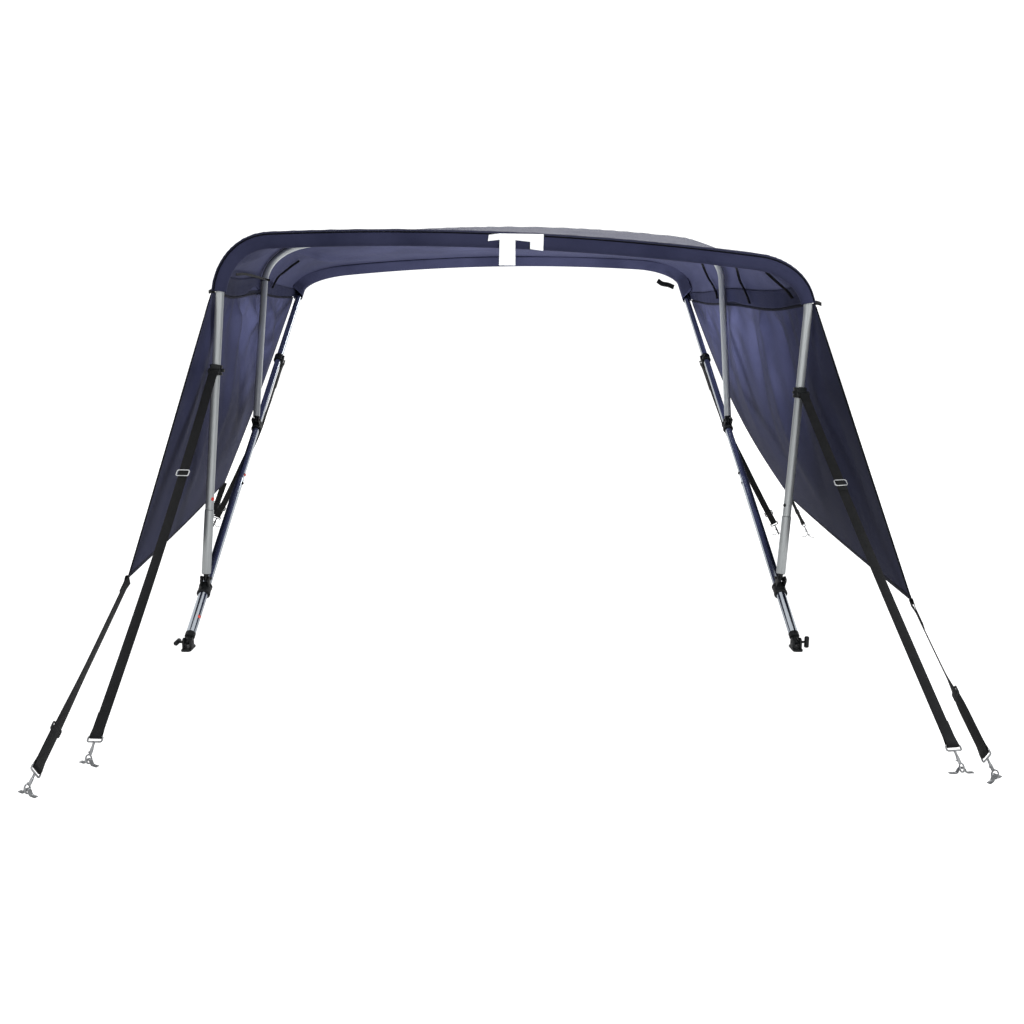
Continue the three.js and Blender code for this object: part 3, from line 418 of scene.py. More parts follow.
def clothMaterial(name, low, high, woven=0.25, paintedFoldLight=False):
    base = blotchedMaterial(name, "Object", clothLook["blotch"], low, high, clothLook["roughness"])
    tree = base.tree
    fine = weave(tree, clothLook["pitch"])
    shade = multiplied(tree, woven, (base.ramp, "Color"), (fine, 0))
    # Painted light and shade on the walls' folds: the colour is made paler or darker by the foldLight
    # attribute
    if paintedFoldLight:  # paler on a fold's raised side: the colour times (1 + foldLight)
        foldLightNode = addNode(tree, "ShaderNodeAttribute", attribute_name="foldLight")
        gain = addNode(tree, "ShaderNodeMath", operation="ADD")
        gain.inputs[1].default_value = 1.0
        link(tree, foldLightNode, "Fac", gain, 0)
        shade = multiplied(tree, 1.0, (shade, 2), (gain, "Value"))
    link(tree, shade, 2, base.shader, "Base Color")
    crumple = addNode(tree, "ShaderNodeTexNoise", Scale=clothLook["crumple"], Detail=3.0)
    link(tree, base.coordinates, "Object", crumple, "Vector")
    bumpChain(tree, base.shader, [(crumple, "Fac", 0.25, 0.004), (fine, 0, 0.3, 0.0004)])
    setInputs(base.shader, {"Specular IOR Level": 0.06, "Sheen Weight": 0.05, "Sheen Roughness": 0.45,
                            "Sheen Tint": clothLook["sheenTint"]})
    return base.material


def webbingMaterial(name, low, high, ribPitch=0.0022):
    base = blotchedMaterial(name, "Object", 40.0, low, high, 0.78)
    ribs = addNode(base.tree, "ShaderNodeTexWave", bands_direction="X", Scale=waveRate / ribPitch,
                   Distortion=1.5, **{"Detail Scale": 60.0})
    link(base.tree, base.coordinates, "UV", ribs, "Vector")
    bumpChain(base.tree, base.shader, [(ribs, "Fac", 0.55, 0.0007), (base.noise, "Fac", 0.2, 0.001)])
    setInputs(base.shader, {"Specular IOR Level": 0.25, "Sheen Weight": 0.04, "Sheen Roughness": 0.5})
    return base.material


def tubeMaterial(name, low, high, roughness, streak=0.25, metallic=1.0):
    drawnOut = (0.6, 160, 1)  # along the tube
    base = blotchedMaterial(name, "UV", 3.0, low, high, roughness, drawnOut)
    setInputs(base.shader, {"Metallic": metallic})
    bumpChain(base.tree, base.shader, [(base.noise, "Fac", streak, 0.0002)])
    return base.material


def plasticMaterial(name, low, high, roughness=(0.38, 0.55), grain=0.2, shine=0.35, metallic=0.0):
    base = blotchedMaterial(name, "Object", 60.0, low, high, roughness)
    speckle = addNode(base.tree, "ShaderNodeTexNoise", Scale=900.0)
    link(base.tree, base.coordinates, "Object", speckle, "Vector")
    bumpChain(base.tree, base.shader, [(speckle, "Fac", grain, 0.0003)])
    setInputs(base.shader, {"Specular IOR Level": shine, "Metallic": metallic})
    return base.material


def steelMaterial(name, low, high, roughness=(0.14, 0.3)):
    return plasticMaterial(name, low, high, roughness, grain=0.06, metallic=1.0)


looks = {name: make(name, colour(*low), colour(*high), **more) for name, make, low, high, more in [
    ("navyCloth", clothMaterial, (38, 40, 60), (49, 51, 73), {}),
    # wallCloth: the same navy with painted fold light and shade from the foldLight attribute
    ("wallCloth", clothMaterial, (38, 40, 60), (49, 51, 73), {"paintedFoldLight": True}),
    # darkNavyCloth: the same navy painted darker, as painted shade where doubled cloth lets less light through
    ("darkNavyCloth", clothMaterial, (17, 19, 35), (24, 26, 45), {}),
    ("bindingTape", clothMaterial, (5, 6, 12), (9, 10, 18), {}),
    ("blackWebbing", webbingMaterial, (7, 8, 9), (13, 14, 16), {}),
    ("satinTube", tubeMaterial, (168, 172, 173), (194, 198, 199), {"roughness": (0.4, 0.52), "metallic": 0.8}),
    ("brightTube", tubeMaterial, (176, 184, 192), (204, 210, 218), {"roughness": (0.1, 0.2), "streak": 0.12}),
    ("blackNylon", plasticMaterial, (10, 11, 12), (20, 22, 23), {}),
    ("navyNylon", plasticMaterial, (6, 6, 14), (10, 10, 20), {"shine": 0.08}),
    ("polishedSteel", steelMaterial, (200, 203, 205), (232, 234, 235), {}),
    ("hookSteel", steelMaterial, (132, 134, 136), (176, 178, 180), {"roughness": (0.18, 0.34)}),
    ("dullSteel", steelMaterial, (112, 114, 116), (154, 156, 158), {"roughness": (0.24, 0.4)}),
    ("darkSteel", steelMaterial, (30, 32, 34), (52, 54, 56), {"roughness": (0.3, 0.48)}),
    ("bareLabel", clothMaterial, (222, 224, 226), (230, 232, 234), {"woven": 0.02}),
    ("redCap", plasticMaterial, (196, 66, 60), (220, 96, 84), {}),
    ("paleSticker", plasticMaterial, (215, 218, 220), (238, 240, 242), {}),
]}
print("materials made:", len(looks))


# The direction in which a bow's plane climbs, and the plane's normal
def planeOf(bow):
    angle = math.radians(bow["angle"])
    climb = np.array([0, math.cos(angle), math.sin(angle)])
    return climb, np.cross(right, climb)


def inPlane(bow, x, s):
    x, s = np.broadcast_arrays(np.asarray(x, float), np.asarray(s, float))
    base = np.stack([x, np.full(x.shape, bow["y"], float), np.full(x.shape, bow["z"], float)], axis=-1)
    return base + s[..., None] * planeOf(bow)[0]


def bendStart(bow, side):
    return bow["tops"][side] - bow["radius"]


# A leg's point: straight from its end at s = 0 to its corner at s = top - radius, and on
def legPoint(bow, side, s):
    share = np.asarray(s, float) / bendStart(bow, side)
    return inPlane(bow, mix(bow["feet"][side], bow["corners"][side], share), s)


def legDirection(bow, side):
    return unit(legPoint(bow, side, 100) - legPoint(bow, side, 0))


# The corner bends are cubic curves and the crowned top a quadratic one, all in the bow's plane
def archCurve(bow):
    inner = [bow["corners"][0] + bow["radius"], bow["corners"][1] - bow["radius"]]
    starts = [legPoint(bow, side, bendStart(bow, side)) for side in (0, 1)]
    ends = [inPlane(bow, inner[side], bow["tops"][side]) for side in (0, 1)]
    middle = inPlane(bow, sum(inner) / 2, sum(bow["tops"]) / 2 + 2 * bow["crown"])
    handle = 0.5523 * bow["radius"]  # makes a cubic curve a quarter circle

    def corner(side, t):
        t = np.asarray(t, float)[..., None]
        a, d = starts[side], ends[side]
        b = a + legDirection(bow, side) * handle
        c = d - unit(middle - d) * handle
        return (1 - t) ** 3 * a + 3 * (1 - t) ** 2 * t * b + 3 * (1 - t) * t ** 2 * c + t ** 3 * d

    def top(t):
        t = np.asarray(t, float)[..., None]
        return (1 - t) ** 2 * ends[0] + 2 * (1 - t) * t * middle + t ** 2 * ends[1]

    return corner, top


lastStation, bendEnd = 24, 7


# The stretch of a bow under the cloth, by station from 0 at the left edge to 24 at the right edge:
# the leg or the bend's start to 1, the bend to 7, the top to 17, and the other side the same way
def clothLine(bow, station):
    corner, top = archCurve(bow)
    points = top(np.clip((station - bendEnd) / (lastStation - 2 * bendEnd), 0, 1))
    for side, q in ((0, station), (1, lastStation - station)):
        bend, edge = bendStart(bow, side), bow["edges"][side]
        chord = (corner(side, 1 / 6) - corner(side, 0)) @ planeOf(bow)[0]
        share = max(0.0, (edge - bend) / chord)  # of the bend's first sixth that the edge leaves bare
        stops = [share / 6, (1 + share) / 12] if edge > bend else [0, 0]
        bent = corner(side, np.interp(q, np.arange(8), [*stops, *(np.arange(1, 7) / 6)]))
        straight = legPoint(bow, side, mix(edge, bend, np.clip(q, 0, 1)))
        onLeg = (q < 1) & (edge <= bend)
        points = np.where((q < bendEnd)[:, None], np.where(onLeg[:, None], straight, bent), points)
    return points


def wholeBow(bow, starts):
    corner, top = archCurve(bow)
    t = np.linspace(0, 1, 25)
    legs = [legPoint(bow, side, mix(starts[side], bendStart(bow, side), np.linspace(0, 1, 14)[:-1]))
            for side in (0, 1)]
    return np.concatenate([legs[0], corner(0, t)[:-1], top(np.linspace(0, 1, 41))[:-1],
                           corner(1, t[::-1]), legs[1][::-1]])


bowFinish = {"front": "satinTube", "middle": "satinTube", "main": "brightTube"}
jointGap = 0.4
eyeGap = 14  # from a leg's end to where its tube starts, where it has no lower tube
for name, bow in bows.items():
    joints = {"front": frontSpots["joint"], "main": [mainSpots["joint"]] * 2}.get(name)
    starts = [j + jointGap for j in joints] if joints else [eyeGap, eyeGap]
    bar = roundBar(wholeBow(bow, starts), tube["thin"], tube["sides"], planeOf(bow)[1])
    makePiece(f"{name}_tube", bar, bowFinish[name], [f"{name}_bow"])
    for side in ((0, 1) if joints else ()):
        start = frontSpots["start"] if name == "front" else mainSpots["foot"]
        length = joints[side] - start
        rim = [(0, 12.6), (0.4, 13.6), (1.2, 14), (length - 1.6, 14), (length - 0.5, 13.7), (length, 13.0)]
        lower = turned(legPoint(bow, side, start), legPoint(bow, side, joints[side]), rim, tube["sides"])
        makePiece(f"{name}_lower_tube_{handNames[side]}", lower, bowFinish[name],
                  [f"{name}_leg_{handNames[side]}"])
print("tubes made")

canopy = {
    "fine": 8,  # grid lines for each of the source's stations across
    "span": 46, "wrap": 26, "back": 7,  # grid lines from bow to bow, round a sleeve and on to its hem
    "overMiddle": [22, 17],  # the cloth over the middle tube's line, at the sides and at the top
    "sag": {"front": 16, "rear": 14}, "slack": [7, 4], "droop": {"front": 13, "rear": 7},
    "scallops": {(0, 0): (14, 0.36), (0, 1): (5, 0.5), (1, 0): (17, 0.4), (1, 1): (6, 0.5)},
    "unit": [2300, 950],  # millimetres of cloth for 1 across and for 1 along, about
    # across, along, to across, to along, width, depth
    "creases": [
        (0.20, 1.05, 0.34, 1.75, 34, -19), (0.80, 1.05, 0.68, 1.70, 40, -11),
        (0.10, 0.10, 0.20, 0.85, 40, -9), (0.90, 0.12, 0.80, 0.85, 40, -8),
        (0.14, 0.20, 0.26, 0.70, 35, 7),
    ],
    "crumple": 1.6, "crumpleRate": [34, 11],
    "seamPucker": 0.9, "seamWide": 0.035, "seamPuckers": 46,
}


# The sleeve's section: r (cos a cover + sin a onward) over the sweep, with a droop under the tube,
# then straight back to the hem's end
def sleeveGrid(centre, run, away, out, droop, slack):
    onward = squareTo(away, run)
    cover = squareTo(squareTo(out, run), onward)
    r = (cloth["sleeve"] + slack / 2)[:, None]
    centre = centre + cover * slack[:, None] / 2
    drop = r - cloth["hemGap"]
    reach = np.hypot(cloth["hem"], drop)
    sweep = 1.5 * np.pi + np.arctan2(drop, cloth["hem"]) - np.arccos(r / reach)
    angle = sweep * np.linspace(0, 1, canopy["wrap"] + 1)[None, :]
    hang = droop * np.maximum(0, cover[:, 2:])
    fall = r * np.cos(angle) - hang * np.maximum(0, -np.cos(angle))
    ring = (centre[:, None, :] + fall[..., None] * cover[:, None, :]
            + (r * np.sin(angle))[..., None] * onward[:, None, :])
    end = centre + cover * drop - onward * cloth["hem"]
    back = np.linspace(0, 1, canopy["back"])[1:][None, :, None]
    flat = ring[:, -1:, :] * (1 - back) + end[:, None, :] * back
    return np.concatenate([ring, flat], axis=1)


# Creases: a trough or ridge along a segment, depth exp(-(distance / width)^2) sin(pi (0.15 + 0.7 t))
def creaseDepth(across, along):
    total = 0
    sizeAcross, sizeAlong = canopy["unit"]
    for a0, l0, a1, l1, width, depth in canopy["creases"]:
        run = np.array([(a1 - a0) * sizeAcross, (l1 - l0) * sizeAlong])
        here = np.stack(np.broadcast_arrays((across - a0) * sizeAcross, (along - l0) * sizeAlong), axis=-1)
        t = np.clip(here @ run / (run @ run), 0, 1)
        distance = np.linalg.norm(here - t[..., None] * run, axis=-1)
        total = total + depth * np.exp(-(distance / width) ** 2) * np.sin(np.pi * (0.15 + 0.7 * t))
    return total


# The canopy's middle surface: sleeves at both ends, and between them straight spans that sag by
# depth sin^2(pi t), with creases, crumples and puckered seams, and lower edges cut in a scallop
def canopyGrid():
    station = np.linspace(0, lastStation, lastStation * canopy["fine"] + 1)
    lines = {name: clothLine(bow, station) for name, bow in bows.items()}
    directions = {name: tangents(line) for name, line in lines.items()}
    out = unit(np.cross(sum(directions.values()), aft))
    share = (station / lastStation)[:, None]
    level = np.clip(out[:, 2], 0, None)
    middle = lines["middle"] + out * mix(*canopy["overMiddle"], level)[:, None]
    slack = np.where(share[:, 0] < 0.5, *canopy["slack"]) * (1 - level)
    sleeves = {}
    for name, end in (("front", "front"), ("main", "rear")):
        away = lines[name] - lines["middle"]
        sleeves[end] = sleeveGrid(lines[name], directions[name], away, out, canopy["droop"][end], slack)
    t = np.linspace(0, 1, canopy["span"] + 1)
    crumpleAcross, crumpleAlong = canopy["crumpleRate"]
    spans = []
    ends = [(sleeves["front"][:, 0], middle, "front"), (middle, sleeves["rear"][:, 0], "rear")]
    for span, (start, end, name) in enumerate(ends):
        along = span + t[None, :]
        hollow = canopy["sag"][name] * np.sin(np.pi * t)[None, :] ** 2 * level[:, None]
        lift = creaseDepth(share, along) * np.sin(np.pi * t)[None, :] ** 0.5 - hollow
        lift = lift + (canopy["crumple"] * np.sin(np.pi * t) ** 0.6
                       * uneven(share * crumpleAcross, along * crumpleAlong, 5))
        near = np.exp(-t / canopy["seamWide"]) + np.exp(-(1 - t) / canopy["seamWide"])
        waves = np.sin(share * 2 * np.pi * canopy["seamPuckers"] + 3 * np.sin(share * 40))
        lift = lift + canopy["seamPucker"] * near * waves
        points = start[:, None, :] * (1 - t)[None, :, None] + end[:, None, :] * t[None, :, None]
        points = points + lift[..., None] * out[:, None, :]
        for side in (0, 1):
            depth, peak = canopy["scallops"][(side, span)]
            reach = np.where(t < peak, t / peak, (1 - t) / (1 - peak))
            fade = np.clip(1 - (station if side == 0 else lastStation - station), 0, 1)
            points[..., 2] -= fade[:, None] * depth * np.sin(reach * np.pi / 2)[None, :] ** 2
        spans.append(points[:, :-1])
    grid = np.concatenate([sleeves["front"][:, :0:-1], *spans, sleeves["rear"]], axis=1)
    return grid, sleeves["front"].shape[1] - 1


canopySurface, hemColumns = canopyGrid()
print("canopy grid:", canopySurface.shape)
canopyPiece = makePiece("canopy_cloth", gridShape(canopySurface), "navyCloth", ["canopy"],
                        cloth["smooth"], cloth["thick"])
wide, long, area = flatSize(canopySurface)
print("canopy flat size:", round(wide, 3), round(long, 3), round(area, 3))

# A thin piping along the top of the front sleeve, where its cloth is sewn to the roof's
piping = {"radius": 2.4, "column": 7, "stand": 1.4, "sides": 10}
pipeLine = canopySurface[:, hemColumns - piping["column"]]
pipeOut = unit(pipeLine - clothLine(bows["front"], np.linspace(0, lastStation, len(pipeLine))))
pipeLine = (pipeLine + pipeOut * piping["stand"])[2:-2]
makePiece("sleeve_piping", roundBar(pipeLine, piping["radius"], piping["sides"]), "bindingTape")


# The canopy's lower edge on one side, depth millimetres up the cloth, as a fine line front to rear
def sideEdge(side, depth=0.0, rows=60):
    order = canopySurface if side == 0 else canopySurface[::-1]
    order = order[:, hemColumns:canopySurface.shape[1] - hemColumns]
    steps = np.linalg.norm(np.diff(order[:rows], axis=0), axis=2)
    lengths = np.concatenate([np.zeros((1, order.shape[1])), np.cumsum(steps, axis=0)])
    row = np.argmax(lengths > depth, axis=0)
    columns = np.arange(order.shape[1])
    low, high = order[row - 1, columns], order[row, columns]
    t = (depth - lengths[row - 1, columns]) / (lengths[row, columns] - lengths[row - 1, columns])
    return low + (high - low) * t[:, None]


# The dark zip flaps inside the canopy's lower edges, with the zip along their foot. Their darker
# cloth is painted shade, for the doubled cloth that lets less light through
band = {
    "height": 60, "inset": 4.6, "levels": 13, "ends": 3, "thick": 1.6,
    # how far the flap's foot is pulled up near the middle bow, where, and how wide, left and right
    "lift": [24, 8], "liftAt": [0.42, 0.46], "liftWide": [0.07, 0.06],
    "ripple": 1.2, "ripples": 17,
    "tape": 17, "tapeThick": 0.7, "tapeIn": 2.4, "tapeDown": 1.6,
    "toothPitch": 4.0, "tooth": [2.6, 1.5, 1.7], "toothIn": 1.3, "toothDown": 2.5, "toothEnds": 6,
}


# A box for each frame of axes, as one mesh: eight corners about each centre
def boxRow(centres, axesOf, size):
    corner = np.array([[x, y, z] for z in (-1, 1) for y in (-1, 1) for x in (-1, 1)]) * np.array(size) / 2
    points = centres[:, None, :] + sum(corner[None, :, k:k + 1] * axesOf[k][:, None, :] for k in range(3))
    sides = np.array([[0, 2, 3, 1], [4, 5, 7, 6], [0, 1, 5, 4], [2, 6, 7, 3], [0, 4, 6, 2], [1, 3, 7, 5]])
    if np.linalg.det(np.stack([a[0] for a in axesOf])) < 0:
        sides = sides[:, ::-1]
    faces = (sides[None] + 8 * np.arange(len(centres))[:, None, None]).reshape(-1, 4)
    points = points.reshape(-1, 3)
    return points, faces.tolist(), points[:, :2] / 1000


for side, hand in enumerate(handNames):
    inward = -outSigns[side] * right
    levels = np.linspace(0.5, band["height"], band["levels"])
    grid = np.stack([sideEdge(side, d) for d in levels])[:, band["ends"]:-band["ends"]]
    normals = gridNormals(grid, inward)
    share = np.linspace(0, 1, grid.shape[1])
    lift = band["lift"][side] * np.exp(-((share - band["liftAt"][side]) / band["liftWide"][side]) ** 2)
    raised = mix(lift[None, :], levels[-1], (levels[:, None] - levels[0]) / (levels[-1] - levels[0]))
    place = np.interp(raised, levels, np.arange(len(levels)))
    hang = onGrid(grid, place, np.broadcast_to(np.arange(grid.shape[1]), place.shape))
    waves = np.sin(share * 2 * np.pi * band["ripples"] + 3 * np.sin(share * 9))[None, :]
    ripple = band["ripple"] * waves * (1 - place / len(levels))
    hang = hang + normals * (band["inset"] + 0.6 * lift[None, :] / 24 + ripple * 0.5 + 0.4)[..., None]
    piece = makePiece(f"zip_flap_{hand}", gridShape(hang), "darkNavyCloth",
                      [f"side_band_{hand}"], cloth["smooth"], band["thick"])
    wide, long, area = flatSize(hang)
    foot = grid[0] + (inward * band["tapeIn"] - up * band["tapeDown"])
    climb = unit(grid[3] - grid[0])
    tape = makePiece(f"zip_tape_{hand}", strip(foot, climb, band["tape"], band["tapeThick"]), "bindingTape")
    length = arcLength(foot)
    places = np.arange(band["toothEnds"], length[-1] - band["toothEnds"], band["toothPitch"])
    centres = atDistance(foot + inward * band["toothIn"] - up * band["toothDown"], length, places)
    run = unit(atDistance(tangents(foot), length, places))
    rise = squareTo(atDistance(climb, length, places), run)
    teeth = boxRow(centres, [rise, run, np.cross(rise, run)], band["tooth"])
    makePiece(f"zip_teeth_{hand}", teeth, "navyNylon")
print("zip flaps made")

walls = [
    {"side": 0, "front": [-1020, 2440, 285], "rear": [-1335, 4350, 216], "rearSag": [0, 0, -18],
     "bottomSag": -8, "belly": 26,
     # place at the top, place at the foot, width, depth, from, to
     "folds": [(0.05, 0.10, 0.025, -20, 0.00, 0.75), (0.17, 0.42, 0.019, 17, 0.00, 0.80),
               (0.25, 0.62, 0.024, -28, 0.00, 0.90), (0.33, 1.00, 0.022, 26, 0.00, 0.70),
               (0.41, 1.40, 0.034, -20, 0.00, 0.85), (0.53, 1.50, 0.024, 28, 0.00, 0.70),
               (0.66, 1.40, 0.034, -23, 0.00, 0.60), (0.80, 1.50, 0.030, 17, 0.00, 0.50),
               (0.20, 0.30, 0.034, -17, 0.45, 1.00), (0.40, 0.60, 0.038, 17, 0.50, 1.00)],
     # painted light and shade, bands coloured paler or darker: place at the top, place at the foot, width,
     # gain, from, to
     "pale": [(0.40, 1.12, 0.055, 1.3, 0.00, 0.80), (0.56, 0.91, 0.040, -0.4, 0.00, 0.75),
              (0.20, 0.75, 0.045, -0.25, 0.00, 0.80)]},
    {"side": 1, "front": [1010, 2310, 262], "rear": [1250, 4200, 176], "rearSag": [-10, 0, -62],
     "bottomSag": -6, "belly": 22,
     "folds": [(0.12, 0.16, 0.025, -14, 0.00, 0.60), (0.22, 0.34, 0.022, 17, 0.00, 0.80),
               (0.30, 0.52, 0.020, -20, 0.00, 0.75), (0.40, 0.72, 0.025, 20, 0.00, 0.85),
               (0.52, 1.00, 0.024, -23, 0.00, 0.70), (0.64, 1.15, 0.025, 17, 0.00, 0.60),
               (0.80, 1.30, 0.030, -14, 0.00, 0.55), (0.36, 0.44, 0.038, -14, 0.40, 1.00),
               (0.10, 0.08, 0.043, 14, 0.35, 1.00)],
     "pale": [(0.62, 1.10, 0.160, 0.2, 0.00, 0.60)]},
]
wallSheet = {
    "across": 170, "down": 111,  # grid lines
    "drop": 2.4,  # how far the top hangs under the canopy's edge
    # puckers under the top: depth, how far they reach, how soon they rise, how many
    "puckers": (6, 0.22, 14, 9), "smallPuckers": (3.0, 0.1, 24, 23), "crumple": 2.4,
    # slopeGain and lightLimits set the painted fold light and shade in the walls' colour
    "slopeGain": 2.0, "lightLimits": (-0.5, 1.6),
}


# A wall hangs from the edge's line at b = 0 and is pulled to the line between its free corners at
# b = 1, with a belly, folds that run down it, and short puckers under its top. The second result is
# foldLight, painted light and shade: how much paler or darker its colour is at each point, from
# the folds' slope plus the painted light and shade bands in "pale".
def wallGrid(wall):
    edge = sideEdge(wall["side"]) - up * wallSheet["drop"]
    length = arcLength(edge)
    a = np.linspace(0, 1, wallSheet["across"])
    b = np.linspace(0, 1, wallSheet["down"])[None, :]
    top = atDistance(edge, length / length[-1], a)
    front, rear = np.array(wall["front"], float), np.array(wall["rear"], float)
    bottom = front + (rear - front) * a[:, None] + wall["bottomSag"] * np.sin(np.pi * a)[:, None] * up
    grid = top[:, None, :] * (1 - b)[..., None] + bottom[:, None, :] * b[..., None]
    a = a[:, None]
    grid = grid + np.array(wall["rearSag"], float) * (np.sin(np.pi * b) * a ** 3)[..., None]
    outward = outSigns[wall["side"]]
    grid[..., 0] -= outward * wall["belly"] * np.sin(np.pi * b) * np.sin(np.pi * a)
    plainSide = grid[..., 0].copy()
    rim = endsFade(b, 12, 4) * endsFade(a, 12, 12)
    for at, to, width, depth, low, high in wall["folds"]:
        t = np.clip((b - low) / (high - low), 0, 1)
        reach = rim * (np.sin(np.pi * np.minimum(1, t + 0.12)) if low else np.cos(np.pi / 2 * t))
        grid[..., 0] += outward * depth * reach * np.exp(-((a - mix(at, to, b)) / (width * (1 + b))) ** 2)
    for key, bend in (("puckers", 0), ("smallPuckers", 5)):
        depth, reach, rise, count = wallSheet[key]
        pucker = np.exp(-b / reach) * np.minimum(1, b * rise)
        grid[..., 0] += outward * depth * pucker * np.sin(2 * np.pi * count * a + bend * np.sin(7 * a))
    soft = endsFade(b, 5, 6) * endsFade(a, 8, 8)
    grid[..., 0] += wallSheet["crumple"] * soft * uneven(a * 20 - b * 3, b * 7, 11 + wall["side"])
    # painted light and shade: paler where a fold's slope faces one way along the wall, darker where it faces
    # the other
    run = np.linalg.norm(np.gradient(grid, axis=0), axis=2)
    light = wallSheet["slopeGain"] * -outward * np.gradient(grid[..., 0] - plainSide, axis=0) / run
    for at, to, width, gain, low, high in wall["pale"]:
        t = np.clip((b - low) / (high - low), 0, 1)
        light = light + gain * np.sin(np.pi * t) ** 0.5 * np.exp(-((a - mix(at, to, b)) / width) ** 2)
    return grid, np.clip(light, *wallSheet["lightLimits"])


wallGrids, foldLights = zip(*[wallGrid(wall) for wall in walls])
binding = {"width": 14, "thick": 3.2, "over": 1.2}
for wall, grid, foldLight in zip(walls, wallGrids, foldLights):
    hand = handNames[wall["side"]]
    piece = makePiece(f"wall_cloth_{hand}", gridShape(grid), "wallCloth", [f"side_wall_{hand}"],
                      cloth["smooth"], cloth["thick"])
    # The wall's colour carries painted fold light and shade through this foldLight attribute
    layer = piece.data.attributes.new("foldLight", "FLOAT", "POINT")
    layer.data.foreach_set("value", foldLight.astype(np.float32).ravel())
    wide, long, area = flatSize(grid)
    print("wall flat size:", hand, round(wide, 3), round(long, 3), round(area, 3))
    hems = []
    for path, inner in ((grid[0, 2:], grid[1, 2:]), (grid[:, -1], grid[:, -2]), (grid[-1, 2:], grid[-2, 2:])):
        middle = path + unit(inner - path) * (binding["width"] / 2 - binding["over"])
        hems.append(strip(middle, inner - path, binding["width"], binding["thick"]))
    piece = makePiece(f"wall_binding_{hand}", hems, "bindingTape")
    length = sum(arcLength(path)[-1] for path in (grid[0], grid[:, -1], grid[-1])) / 1000

# Straps: the pad eye's place and turn, the webbing's twist in degrees at its ends and where along the
# run it turns over, how much is doubled back at each end, and the sag
straps = [
    {"name": "front_left", "pad": [-928, 1934], "turn": -27, "twist": [0, 0], "turnOver": [0, 1],
     "double": [400, 60], "sag": 22},
    {"name": "front_right", "pad": [967, 1893], "turn": 4, "twist": [0, 0], "turnOver": [0, 1],
     "double": [395, 60], "sag": 8},
    {"name": "rear_left", "pad": [-1403, 4371], "turn": 10, "twist": [75, 0], "turnOver": [0.2, 0.5],
     "double": [120, 60], "sag": 50},
    {"name": "rear_right", "pad": [1206, 4202], "turn": -14, "twist": [-75, 0], "turnOver": [0.2, 0.5],
     "double": [120, 60], "sag": 50},
    {"name": "wall_front_left", "pad": [-995, 1799], "turn": -29, "twist": [-86, -104],
     "turnOver": [0.5, 0.9], "double": [60, 110], "sag": 2},
    {"name": "wall_front_right", "pad": [1023, 1862], "turn": 40, "twist": [63, 101],
     "turnOver": [0.5, 0.75], "double": [80, 165], "sag": 2},
    {"name": "wall_rear_left", "pad": [-1440, 4444], "turn": 35, "twist": [12, 12], "turnOver": [0, 1],
     "double": [60, 60], "sag": 1},
    {"name": "wall_rear_right", "pad": [1330, 4160], "turn": -12, "twist": [-84, -84], "turnOver": [0, 1],
     "double": [60, 60], "sag": 1},
]
ringHeight = 12.6  # of a pad eye's arch, where the hook's ring hangs
hookReach = 55
darkHooks = ["rear_left", "rear_right", "wall_rear_left"]
buckleAt = {"front_left": 0.322, "front_right": 0.31}
slackLine = ([0, 0.05, 0.12, 0.2, 0.3, 0.42, 0.56, 0.7, 0.86, 1],
             [0, 0.16, 0.5, 0.82, 1, 0.84, 0.64, 0.5, 0.28, 0])


def padRing(row):
    return np.array([*row["pad"], ringHeight])


# How far a strap hangs at a share of its run: a sine bow, or for the slack rear ones a smoothed table
def hangShare(row, share):
    if not row["name"].startswith("rear"):
        return np.sin(np.pi * np.asarray(share, float))
    fine = np.linspace(0, 1, 201)
    kernel = np.hanning(23) / np.hanning(23).sum()
    line = np.pad(np.interp(fine, *slackLine), 11, mode="reflect", reflect_type="odd")
    return np.interp(share, fine, np.convolve(line, kernel, mode="valid"))


# A vector turned about a unit axis by an angle: v cos a + (axis x v) sin a, for v square to the axis
def turnedAbout(v, axis, degrees):
    a = np.radians(np.asarray(degrees, float))[..., None]
    return v * np.cos(a) + np.cross(axis, v) * np.sin(a)


def widthAt(row, pull, share):
    low, high = row["turnOver"]
    twist = mix(*row["twist"], smooth((np.asarray(share, float) - low) / (high - low)))
    return turnedAbout(squareTo(right, pull), pull, twist)


def runPoint(row, start, end, share):
    share = np.asarray(share, float)
    return start + (end - start) * share[..., None] - up * (row["sag"] * hangShare(row, share))[..., None]


# The closed rod that webbing is looped through: a rounded rectangle, wide across the webbing and
# high along its pull
def webbingLoop(pull, across, at, wide, high, rod, soft=3.5, sides=12):
    xAxis, yAxis, zAxis = frameAxes(np.cross(pull, across), across)
    outline = roundedRectangle(wide, high, soft, 6)
    path = at + outline[:, :1] * xAxis + outline[:, 1:] * yAxis
    return roundBar(path, rod, sides, hint=zAxis, endless=True)


# A collar round a tube with a raised rim near each end
def rimmedCollar(centre, run, radius, half, wall, soft, rim):
    place, rimHalf, low, high = rim
    rims = [collar(centre + run * d, run, rimHalf, radius + low, radius + high, 1.0) for d in (place, -place)]
    return [collar(centre, run, half, radius + 0.5, radius + wall, soft), *rims]


slide = {
    "half": 15, "wall": 5.0, "soft": 1.5, "rim": (12, 3.4, 4, 6.6),
    "plate": (27, 34, 7, 6), "plateThick": 9, "plateAt": 4.2, "plateSoft": 2.5,
    "knobs": {1: (15, 25, 5.5, 2.0), -1: (15, 22, 4.2, 1.5)},  # by side: from, to, radius, soft
    "stalk": 4.2, "stalkAt": 1.5, "stalkShort": 7, "loopWider": 6, "loopHigh": 14.5, "rod": 2.3,
}


